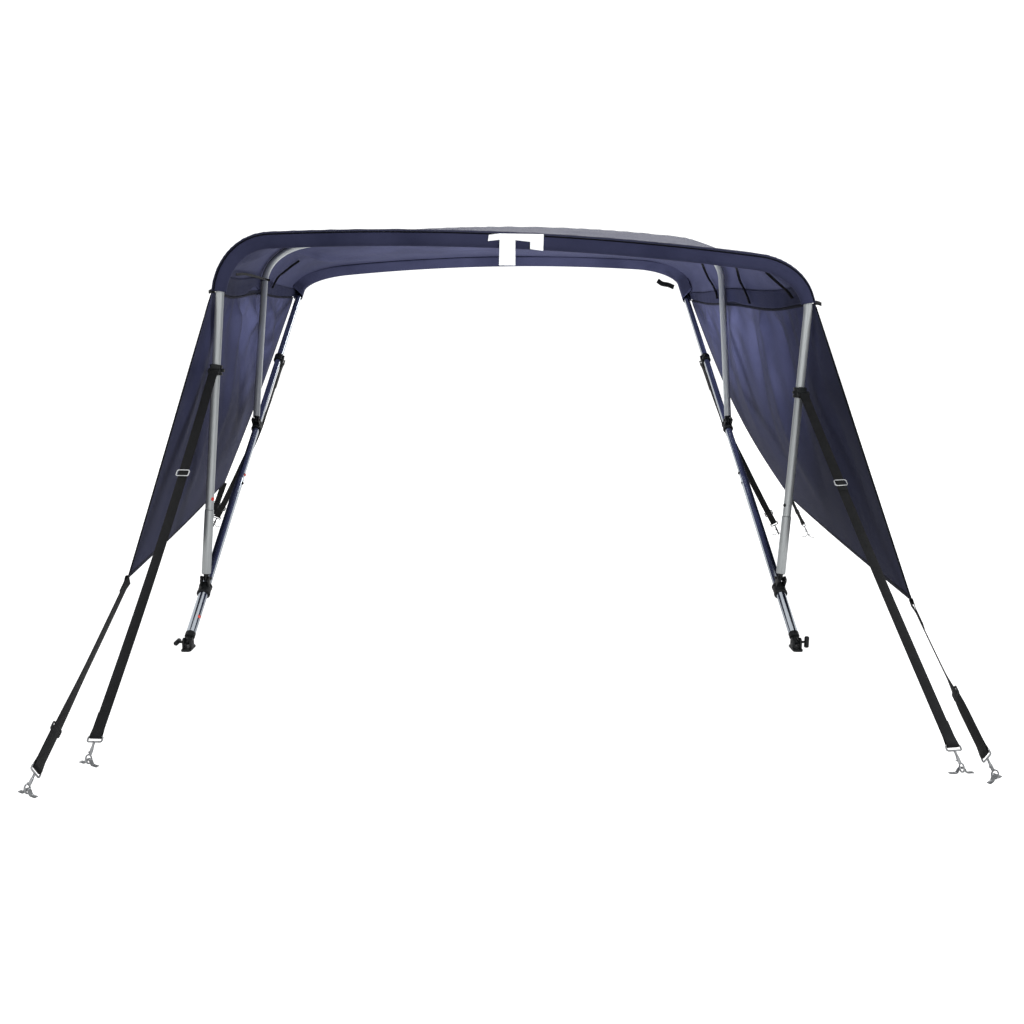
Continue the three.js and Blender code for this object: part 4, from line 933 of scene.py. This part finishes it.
# A slide on a tube with a stalk that carries a strap's loop; the result is the loop's far rod
def eyeSlide(name, centre, run, toward, pull, across, reach):
    stand = squareTo(toward, run)
    side = np.cross(run, stand)
    loopAt = centre + stand * (tube["thin"] + reach[0]) + pull * reach[1]
    plateAt = centre + stand * (tube["thin"] + slide["plateAt"])
    parts = [
        *rimmedCollar(centre, run, tube["thin"], slide["half"], slide["wall"], slide["soft"], slide["rim"]),
        plate(roundedRectangle(*slide["plate"]), slide["plateThick"], (side, run, stand), plateAt,
              slide["plateSoft"]),
        *[pin(centre + sign * side * low, centre + sign * side * high, radius, soft)
          for sign, (low, high, radius, soft) in slide["knobs"].items()],
        pin(centre + stand * (tube["thin"] + slide["stalkAt"]), loopAt - pull * slide["stalkShort"],
            slide["stalk"]),
        webbingLoop(pull, across, loopAt, webbing["width"] + slide["loopWider"], slide["loopHigh"],
                    slide["rod"]),
    ]
    makePiece(f"slide_{name}", parts, "blackNylon", [f"eye_slide_{name}"])
    return loopAt + pull * slide["loopHigh"] / 2


# One half of a pad eye's arch, as distance from its middle and height
archHalf = [(27, 1), (20, 1), (13, 1), (10.4, 2.2), (9, 4.5), (7.8, 8.6), (6, 11.4), (3, ringHeight)]
eyeStrip = {"width": 9, "thick": 2, "screwAt": 20, "screwFrom": 1.6, "screwTo": 3.4}
screwHead = [(0, 3.4), (0.5, 3.4), (1.2, 2.6), (1.6, 1.2), (1.7, 0.1)]


# A strip bent up into an arch between two screwed feet
def padEye(name, at, turn):
    angle = math.radians(turn)
    length = np.array([math.cos(angle), math.sin(angle), 0.0])
    centre = np.array([*at, 0.0])
    profile = np.array([(-d, h) for d, h in archHalf] + archHalf[::-1])
    path = centre + profile[:, :1] * length + profile[:, 1:] * up
    widths = np.broadcast_to(np.cross(up, length), path.shape)
    parts = [strip(path, widths, eyeStrip["width"], eyeStrip["thick"], 3)]
    for d in (-eyeStrip["screwAt"], eyeStrip["screwAt"]):
        base = centre + d * length
        parts.append(turned(base + up * eyeStrip["screwFrom"], base + up * eyeStrip["screwTo"], screwHead, 20))
    makePiece(f"deck_eye_{name}", parts, "dullSteel", [f"pad_eye_{name}"])
    return length


hook = {
    "ring": 9.3, "ringRod": 1.8, "ringPoints": 36, "bodyFrom": 9, "bodyShort": 14,
    "body": [(0, 2.2), (1, 3.2), (3, 3.7), (15, 3.7), (17, 3.2), (20, 2.7), (31, 2.6), (32, 2)],
    "knobAt": 17, "knobFrom": 3.4, "knobTo": 7, "knob": 1.6,
    "loopShort": 8, "loopWider": 6, "loopHigh": 12.5, "rod": 2.0,
}


def snapHook(row, padLength, pull, across):
    ringCentre = padRing(row)
    x, y, z = frameAxes(squareTo(padLength, pull), up)
    ring = ringCentre + hook["ring"] * spokes(x, y, fullTurn(hook["ringPoints"]))
    loopAt = ringCentre + pull * (hookReach - hook["loopShort"])
    knob = ringCentre + pull * hook["knobAt"]
    bodyEnd = ringCentre + pull * (hookReach - hook["bodyShort"])
    parts = [
        roundBar(ring, hook["ringRod"], 12, hint=z, endless=True),
        turned(ringCentre + pull * hook["bodyFrom"], bodyEnd, hook["body"], 24),
        pin(knob - z * hook["knobFrom"], knob - z * hook["knobTo"], hook["knob"]),
        webbingLoop(pull, across, loopAt, webbing["width"] + hook["loopWider"], hook["loopHigh"], hook["rod"]),
    ]
    finish = "darkSteel" if row["name"] in darkHooks else "hookSteel"
    makePiece(f"snap_{row['name']}", parts, finish, [f"hook_{row['name']}"])
    return loopAt + pull * hook["loopHigh"] / 2


# The strip's path: doubled back from the bar at its start, down its run, round the bar at its end and
# back. Each sample has a distance along the run, an offset off its face and a reach past the bar.
def strapPath(row, start, end):
    share = np.linspace(0, 1, 181)
    centre = runPoint(row, start, end, share)
    directions = tangents(centre)
    widths = squareTo(widthAt(row, unit(start - padRing(row)), share), directions)
    normals = np.cross(directions, widths)
    length = arcLength(centre)
    total = length[-1]
    layer, bend = webbing["layer"], webbing["turn"]
    first, last = row["double"]
    half = np.linspace(0, np.pi, 11)
    samples = []

    def add(d, offset, reach, skip=1):
        samples.append(np.stack(np.broadcast_arrays(d, offset, reach), axis=-1)[skip:])

    d = np.linspace(first, 0, max(8, int(first / 14)))
    add(d, mix(bend, layer, smooth(d / 22)), 0, skip=0)
    add(0, bend * np.cos(half), -bend * np.sin(half))
    d = np.linspace(0, total, int(total / 12))
    add(d, -mix(bend, layer, smooth(d / 24)) - (bend - layer) * smooth((d - total + 24) / 24), 0)
    add(total, -bend * np.cos(half), bend * np.sin(half))
    d = np.linspace(total, total - last, 10)
    add(d, mix(bend, layer, smooth((total - d) / 22)), 0)
    d, offset, reach = np.concatenate(samples).T
    path = atDistance(centre, length, d) + unit(atDistance(normals, length, d)) * offset[:, None]
    path = path + unit(atDistance(directions, length, d)) * reach[:, None]
    return path, atDistance(widths, length, d)


wire = {"wide": 37, "high": 24, "rod": 1.7, "soft": 5, "sides": 14}


def buckle(name, point, pull, across):
    normal = np.cross(across, pull)
    facing = -normal if normal[1] > 0 else normal
    at = point + facing * (webbing["layer"] + webbing["thick"] / 2 + wire["rod"])
    loop = webbingLoop(pull, across, at, wire["wide"] - 2 * wire["rod"], wire["high"] - 2 * wire["rod"],
                       wire["rod"], wire["soft"], wire["sides"])
    makePiece(f"wire_{name}", loop, "polishedSteel", [f"buckle_{name}"])


# Where a strap's run starts, and its width there: at a wall's free corner, or in an eye slide's loop
def strapStart(row, pad):
    end, hand = row["name"].split("_")[:2]
    if end == "wall":
        side = handNames.index(row["name"].split("_")[2])
        if "front" in row["name"]:
            start = np.array(walls[side]["front"], float) + [0, -4, -5.5]
        else:
            start = np.array(walls[side]["rear"], float) + [outSigns[side] * 4, 3, -5]
        return start, widthAt(row, unit(start - pad), 0.0)
    side = handNames.index(hand)
    bow, s = (bows["front"], frontSpots["eye"][side]) if end == "front" else (bows["main"], mainSpots["eye"])
    centre = legPoint(bow, side, s)
    down = unit(pad - centre)
    toward = down if end == "front" else np.array([-1.0 * outSigns[side], 0.1, -0.3])
    leg = legDirection(bow, side)
    nearby = centre + squareTo(toward, leg) * (tube["thin"] + 15)
    hookAt = pad + unit(nearby - pad) * hookReach
    first, firstSag = (0.05, 0.16) if end == "rear" else (0.12, math.sin(math.pi * 0.12))
    pull = unit(nearby + (hookAt - nearby) * first - up * firstSag * row["sag"] - nearby)
    across = squareTo(widthAt(row, -down, 0.0), pull)
    reach = [13, 4] if end == "front" else [9, 14]
    return eyeSlide(row["name"], centre, leg, toward, pull, across, reach), across


ladders = {}
for row in straps:
    name, pad = row["name"], padRing(row)
    start, across = strapStart(row, pad)
    pull = unit(start - pad)
    padLength = padEye(name, row["pad"], row["turn"])
    hookBar = snapHook(row, padLength, pull, widthAt(row, pull, 1.0))
    path, widths = strapPath(row, start, hookBar)
    piece = makePiece(f"webbing_{name}", strip(path, widths, webbing["width"], webbing["thick"]),
                      "blackWebbing", [f"strap_{name}"])
    length = arcLength(path)[-1] / 1000
    print("strap", name, round(length, 3))
    if name in buckleAt:
        buckle(name, runPoint(row, start, hookBar, buckleAt[name]), pull, across)
    else:
        share = 1 - row["double"][1] / np.linalg.norm(hookBar - start)
        ladders[name] = (runPoint(row, start, hookBar, share), pull, widthAt(row, pull, share))

jawShape = {
    "half": 19, "wall": 5.5, "soft": 2.0, "rim": (15, 3.5, 4.5, 6.5),
    "cheekLonger": 14, "cheekHigh": 24, "cheekRound": 9, "cheekThick": 6, "cheekAlong": 5, "cheekAt": 11,
    "pin": [(0, 3.4), (0.8, 5), (2.6, 5), (3, 3.6), (33, 3.6), (33.4, 5), (35.2, 5), (36, 3.4)], "pinHalf": 18,
    "eyeFrom": 9, "eyeTo": 12, "eye": 7.5, "washerAt": 13.2, "washer": (1.2, 3, 12.4, 0.6),
}


# A jaw slide on the main bow: a rimmed collar, two cheeks with a pin, and the other bow's eye end
def jaw(name, side, s, legBow, radius):
    run = legDirection(bows["main"], side)
    centre, pivot = legPoint(bows["main"], side, s), legPoint(legBow, side, 0)
    stand = squareTo(pivot - centre, run)
    pinAxis = unit(np.cross(run, stand))
    reach = (pivot - centre) @ stand
    lean = (pivot - centre) @ run
    j = jawShape
    parts = rimmedCollar(centre, run, radius, j["half"], j["wall"], j["soft"], j["rim"])
    outline = roundedRectangle(reach + j["cheekLonger"], j["cheekHigh"], j["cheekRound"], 8)
    cheekAt = centre + stand * (reach / 2 + j["cheekAlong"]) + run * lean / 2
    cheekAxes = (stand, run, np.cross(stand, run))
    for half in (-1, 1):
        parts.append(plate(outline, j["cheekThick"], cheekAxes, cheekAt + pinAxis * half * j["cheekAt"], 1.6))
    parts.append(turned(pivot - pinAxis * j["pinHalf"], pivot + pinAxis * j["pinHalf"], j["pin"], 24))
    legRun = legDirection(legBow, side)
    parts.append(pin(pivot - legRun * j["eyeFrom"], pivot + legRun * j["eyeTo"], j["eye"], 2.0, 32))
    parts.append(collar(pivot + legRun * j["washerAt"], legRun, *j["washer"]))
    makePiece(f"slide_{name}", parts, "blackNylon", [name])


hinge = {
    "base": (30, 56, 9, 8), "thick": 6, "baseHeight": 3.0, "cheekAt": 11, "cheekHeight": 4.0,
    "screw": [(0, 4), (0.6, 4), (1.4, 3), (1.8, 1.4), (1.9, 0.1)],
    "screwAt": 20, "screwFrom": 5.6, "screwTo": 8,
    "pinHeight": 22, "pinIn": 15, "pinOut": 34, "pin": 3.6, "knobAt": 31, "knobHalf": 17, "knob": 7,
}
eyeEnd = {"below": 6, "rod": 7.2, "plugFrom": 18, "plugNeck": 7, "plugRim": 12}
archAngles = np.linspace(0.1, math.pi - 0.1, 13)
cheekArch = [[13 * math.cos(a), 18 + 13 * math.sin(a)] for a in archAngles]
hingeCheek = np.array([[-13, 0], [13, 0], [13, 12], *cheekArch, [-13, 12]], float)
for side, hand in enumerate(handNames):
    jaw(f"front_jaw_{hand}", side, mainSpots["frontJaw"], bows["front"], tube["wide"])
    jaw(f"middle_jaw_{hand}", side, mainSpots["middleJaw"], bows["middle"], tube["thin"])
    foot = legPoint(bows["main"], side, 0)
    x, y, height = foot[0], foot[1], hinge["pinHeight"]
    outward = outSigns[side]
    foundation = roundedRectangle(*hinge["base"])
    base = [plate(foundation, hinge["thick"], (right, aft, up), np.array([x, y, hinge["baseHeight"]]), 1.4)]
    for half in (-1, 1):
        cheekAt = np.array([x + half * hinge["cheekAt"], y, hinge["cheekHeight"]])
        base.append(plate(hingeCheek, hinge["thick"], (aft, up, right), cheekAt, 1.0))
    for d in (-hinge["screwAt"], hinge["screwAt"]):
        base.append(turned([x, y + d, hinge["screwFrom"]], [x, y + d, hinge["screwTo"]], hinge["screw"], 20))
    makePiece(f"hinge_base_{hand}", base, "blackNylon", [f"deck_hinge_{hand}"])
    run = legDirection(bows["main"], side)
    knobAt = np.array([x + outward * hinge["knobAt"], y, height])
    knobReach = (aft if side == 0 else up) * hinge["knobHalf"]
    plug, start, end = tube["wide"] + 1, eyeEnd["plugFrom"], mainSpots["foot"] - jointGap
    plugProfile = [(0, eyeEnd["plugNeck"]), (0.6, eyeEnd["plugRim"]), (2.4, plug), (end - start, plug)]
    parts = [
        pin(foot - run * eyeEnd["below"], foot + run * end, eyeEnd["rod"], 2.0, 32),
        turned(foot + run * start, foot + run * end, plugProfile, 48),
        pin([x - outward * hinge["pinIn"], y, height], [x + outward * hinge["pinOut"], y, height],
            hinge["pin"]),
        pin(knobAt - knobReach, knobAt + knobReach, hinge["knob"], 3.0, 32),
    ]
    makePiece(f"eye_fitting_{hand}", parts, "blackNylon", [f"eye_end_{hand}"])
print("slides and hinges made")

ties = [
    # name, width, stands upright, run
    ("tie_left_front", 9, True, [[-905, 3209, 1102], [-917, 3342, 1110], [-940, 3531, 1114],
                                 [-958, 3700, 1114], [-963, 3822, 1112], [-948, 3828, 1108]]),
    ("tie_left_rear", 9, False, [[-903, 4165, 1203], [-941, 4172, 1179], [-967, 4143, 1153],
                                 [-979, 4103, 1135], [-986, 4068, 1111], [-985, 4012, 1085]]),
    ("tie_right_front", 9, False, [[839, 3231, 1111], [852, 3200, 1091], [868, 3155, 1066],
                                   [876, 3104, 1046], [886, 3074, 1023]]),
    ("tie_right_middle", 9, False, [[820, 3593, 1150], [838, 3640, 1134], [850, 3646, 1101],
                                    [854, 3599, 1072], [854, 3544, 1045], [856, 3501, 1014]]),
    ("tie_right_rear", 9, False, [[798, 4120, 1190], [812, 4140, 1169], [827, 4119, 1130],
                                  [832, 4047, 1098], [832, 3979, 1068], [832, 3945, 1041]]),
    ("tail_rear_right", 22, True, [[766, 4618, 1108], [738, 4604, 1118], [706, 4596, 1124],
                                   [684, 4592, 1138]]),
]


# A smooth line through given points: each piece is the cubic with its ends' mean slopes
def throughPoints(points, steps=12):
    p = np.asarray(points, float)
    slope = np.gradient(p, axis=0)
    t = np.linspace(0, 1, steps + 1)[None, :-1, None]
    a, b, m, n = p[:-1, None], p[1:, None], slope[:-1, None], slope[1:, None]
    line = (2 * t ** 3 - 3 * t ** 2 + 1) * a + (t ** 3 - 2 * t ** 2 + t) * m \
        + (3 * t ** 2 - 2 * t ** 3) * b + (t ** 3 - t ** 2) * n
    return np.concatenate([line.reshape(-1, 3), p[-1:]])


for name, width, upright, run in ties:
    path = throughPoints(run)
    widths = np.broadcast_to(up, path.shape) if upright else np.cross(tangents(path), aft)
    piece = makePiece(f"{name}_webbing", strip(path, widths, width, 1.4), "blackWebbing", [name])
    arcLength(path)[-1] / 1000

# A right-angled patch on each wall's front corner, lifted off the wall's surface, in the darker
# cloth that is painted shade for the doubled layer
patch = {"leg": 120, "thick": 1.2, "lift": 2.2, "lines": 25, "start": 6}
for wall, grid in zip(walls, wallGrids):
    hand = handNames[wall["side"]]
    a, b = np.meshgrid(*[np.linspace(0, 1, patch["lines"])] * 2, indexing="ij")
    back, rise = arcLength(grid[:, -1]), arcLength(grid[0, ::-1])
    rows = np.interp(a * b * patch["leg"] + patch["start"], back, np.arange(len(back)))
    downs = np.interp(a * (1 - b) * patch["leg"] + patch["start"], rise, np.arange(len(rise)))
    columns = grid.shape[1] - 1 - downs
    normals = gridNormals(grid, outSigns[wall["side"]] * right)
    normals = normals[np.floor(rows).astype(int), np.floor(columns).astype(int)]
    surface = onGrid(grid, rows, columns) + normals * patch["lift"]
    piece = makePiece(f"corner_cloth_{hand}", gridShape(surface), "darkNavyCloth",
                      [f"corner_patch_{hand}"], cloth["smooth"], patch["thick"])

labelOutline = [[-72, -14], [-37, -10], [-39, -84], [10, -84], [10, -11], [54, -16], [54, -37], [93, -42],
                [94, 6], [-37, 8], [-69, 4]]
frontLine = clothLine(bows["front"], np.linspace(bendEnd, lastStation - bendEnd, 201))
labelTop = frontLine[np.argmin(np.abs(frontLine[:, 0] - 10))]
labelAt = np.array([0, labelTop[1] - cloth["sleeve"] - 2.3, labelTop[2] + 4])
labelShape = plate(np.array(labelOutline, float), 0.8, (right, up, -aft), labelAt, 0.2)
makePiece("bare_label", labelShape, "bareLabel", ["label"])
print("small cloth made")

# Short tabs beside the front sleeve's corners
tabs = {"up": 3, "from": 14, "reach": [34, 38], "width": 20, "thick": 2.8}
for side, hand in enumerate(handNames):
    hub = legPoint(bows["front"], side, bows["front"]["edges"][side] + tabs["up"])
    t = np.linspace(0, 1, 15)[:, None]
    outward = outSigns[side] * right
    path = hub + outward * mix(tabs["from"], tabs["reach"][side], t) + up * (2 * np.sin(np.pi * t) - 4 * t)
    widths = np.broadcast_to([0, 0.8, 0.6], path.shape)
    piece = makePiece(f"corner_tab_{hand}", strip(path, widths, tabs["width"], tabs["thick"]), "blackWebbing")
    arcLength(path)[-1] / 1000

button = {"radius": 4.2, "height": 4.5, "sunk": 0.6}
buttons = [
    # name, bow, side, s, tube, toward, look, slot
    ("snap_front_left", "front", 0, 249, "thin", (0.85, -0.5, 0), "redCap", "fitting"),
    ("snap_front_right", "front", 1, 228, "thin", (-0.9, -0.4, 0), "blackNylon", "fitting"),
    ("snap_main_left", "main", 0, 790, "thin", (1, -0.2, 0), "redCap", "fitting"),
    ("snap_main_left_low", "main", 0, 742, "wide", (1, -0.2, 0), "blackNylon", "fitting"),
    ("snap_main_right", "main", 1, 743, "wide", (-1, -0.2, 0), "polishedSteel", "steel"),
    ("snap_main_right_high", "main", 1, 800, "thin", (-1, -0.2, 0), "blackNylon", "fitting"),
    ("snap_foot_left", "main", 0, 96, "wide", (0.7, -0.7, 0), "redCap", "fitting"),
]
for name, bowName, side, s, size, toward, look, slotName in buttons:
    out = squareTo(np.array(toward, float), legDirection(bows[bowName], side))
    base = legPoint(bows[bowName], side, s) + out * (tube[size] - button["sunk"])
    r, h = button["radius"], button["height"]
    dome = [(0, r), (h * 0.6, r), (h * 0.85, r * 0.8), (h * 0.98, r * 0.4), (h, 0.1)]
    ring = [(0, r + 1.6), (0.9, r + 1.6), (1.2, r + 1.0), (1.3, 0.2)]
    parts = [turned(base, base + out * h, dome, 20), turned(base, base + out, ring, 20)]
    makePiece(name, parts, look)

sticker = {"from": 92, "to": 132, "arc": [-75, 40], "stand": 0.35, "thick": 0.3}
run = legDirection(bows["main"], 1)
centre = legPoint(bows["main"], 1, np.linspace(sticker["from"], sticker["to"], 9))
side = squareTo(right, run)
cover = np.cross(run, side)
around = np.radians(np.linspace(*sticker["arc"], 25)) + np.pi / 2 * np.sign(cover[1])
stickerGrid = centre[:, None, :] + (tube["wide"] + sticker["stand"]) * spokes(side, cover, around)[None, :, :]
makePiece("bare_sticker", gridShape(stickerGrid), "paleSticker", thickness=sticker["thick"])

# A ladder slide holds each strap's doubled end: an outer rod frame and a bar across its middle
ladder = {"wider": 7, "high": 20, "rod": 2.1, "barPast": 3}
for name, (at, pull, across) in ladders.items():
    x = frameAxes(np.cross(pull, across), across)[0] * (webbing["width"] / 2 + ladder["barPast"])
    parts = [webbingLoop(pull, across, at, webbing["width"] + ladder["wider"], ladder["high"], ladder["rod"]),
             pin(at - x, at + x, ladder["rod"])]
    makePiece(f"ladder_{name}", parts, "blackNylon")
print("small fittings made")

stage = {"camera": 1.0, "glossy": 0.66, "world": 0.22, "floorHalf": 60.0, "floorGlossy": 0.6}


# Strength that adds extra brightness for rays that the camera or a gloss sends out
def rayStrength(tree, plain, forCamera, forGlossy):
    rays = addNode(tree, "ShaderNodeLightPath")
    seen = addNode(tree, "ShaderNodeMath", operation="MULTIPLY_ADD")
    seen.inputs[1].default_value, seen.inputs[2].default_value = forCamera, plain
    link(tree, rays, "Is Camera Ray", seen, 0)
    shine = addNode(tree, "ShaderNodeMath", operation="MULTIPLY_ADD")
    shine.inputs[1].default_value = forGlossy
    link(tree, rays, "Is Glossy Ray", shine, 0)
    link(tree, seen, "Value", shine, 2)
    return shine


white = (1, 1, 1, 1)
paleFloor = blotchedMaterial("paleFloor", "Object", 0.6, (0.4, 0.4, 0.4, 1), (0.43, 0.43, 0.43, 1), 0.9)
setInputs(paleFloor.shader, {"Emission Color": white})
glow = rayStrength(paleFloor.tree, 0.0, stage["camera"], stage["glossy"] * stage["floorGlossy"])
link(paleFloor.tree, glow, "Value", paleFloor.shader, "Emission Strength")
half = stage["floorHalf"]
floorMesh = bpy.data.meshes.new("studioFloor")
floorCorners = [(-half, -half, 0), (half, -half, 0), (half, half, 0), (-half, half, 0)]
floorMesh.from_pydata(floorCorners, [], [(0, 1, 2, 3)])
floorMesh.materials.append(paleFloor.material)
floor = bpy.data.objects.new("studioFloor", floorMesh)
bpy.context.scene.collection.objects.link(floor)

world = bpy.data.worlds.new("studioWorld")
bpy.context.scene.world = world
world.use_nodes = True
background = world.node_tree.nodes["Background"]
setInputs(background, {"Color": white})
worldStrength = rayStrength(world.node_tree, stage["world"], stage["camera"], stage["glossy"])
link(world.node_tree, worldStrength, "Value", background, "Strength")

lights = [
    # name, place, aims at, size, power, spread in degrees, seen in gloss
    ("backLight", (0.6, 5.5, 5.0), (0, 0.3, 1.0), 5.0, 500, 180, True),
    ("rightFrontLight", (1.6, -3.6, 1.2), (-1.0, 0.4, 0.8), 0.8, 142, 180, False),
    ("leftFrontLight", (-1.6, -3.6, 1.2), (1.0, 0.4, 0.8), 0.8, 40, 180, False),
    ("insideLight", (-0.2, -0.8, 0.3), (0.95, 0.8, 1.05), 0.4, 7, 60, False),
    ("underLight", (0.0, 0.8, 0.6), (0.0, 0.8, 2.0), 1.4, 34, 180, False),
]
for name, place, aim, size, power, spread, inGloss in lights:
    lamp = bpy.data.lights.new(name, "AREA")
    lamp.shape, lamp.size, lamp.energy, lamp.spread = "SQUARE", size, power, math.radians(spread)
    lampObject = bpy.data.objects.new(name, lamp)
    bpy.context.scene.collection.objects.link(lampObject)
    lampObject.location = place
    lampObject.visible_camera, lampObject.visible_glossy = False, inGloss
    direction = unit(np.array(aim, float) - np.array(place, float))
    yaw = math.atan2(direction[1], direction[0]) - math.pi / 2
    lampObject.rotation_euler = (math.acos(-direction[2]), 0, yaw)

# The camera's focal length, and the horizon's height over the middle, are in the photograph's pixels
view = {"focal": 950, "horizon": 192, "pixels": 1024, "sensor": 36,
        "place": (0.0537, -3.3196, 0.956), "far": 200}
camera = bpy.data.cameras.new("photoCamera")
camera.lens = view["focal"] / view["pixels"] * view["sensor"]
camera.sensor_width, camera.clip_end = view["sensor"], view["far"]
cameraObject = bpy.data.objects.new("photoCamera", camera)
bpy.context.scene.collection.objects.link(cameraObject)
cameraObject.location = view["place"]
cameraObject.rotation_euler = (math.radians(90) - math.atan(view["horizon"] / view["focal"]), 0, 0)
bpy.context.scene.camera = cameraObject
bpy.context.scene.view_settings.view_transform = "Standard"  # keeps thin dark things whole on white
print("stage set")
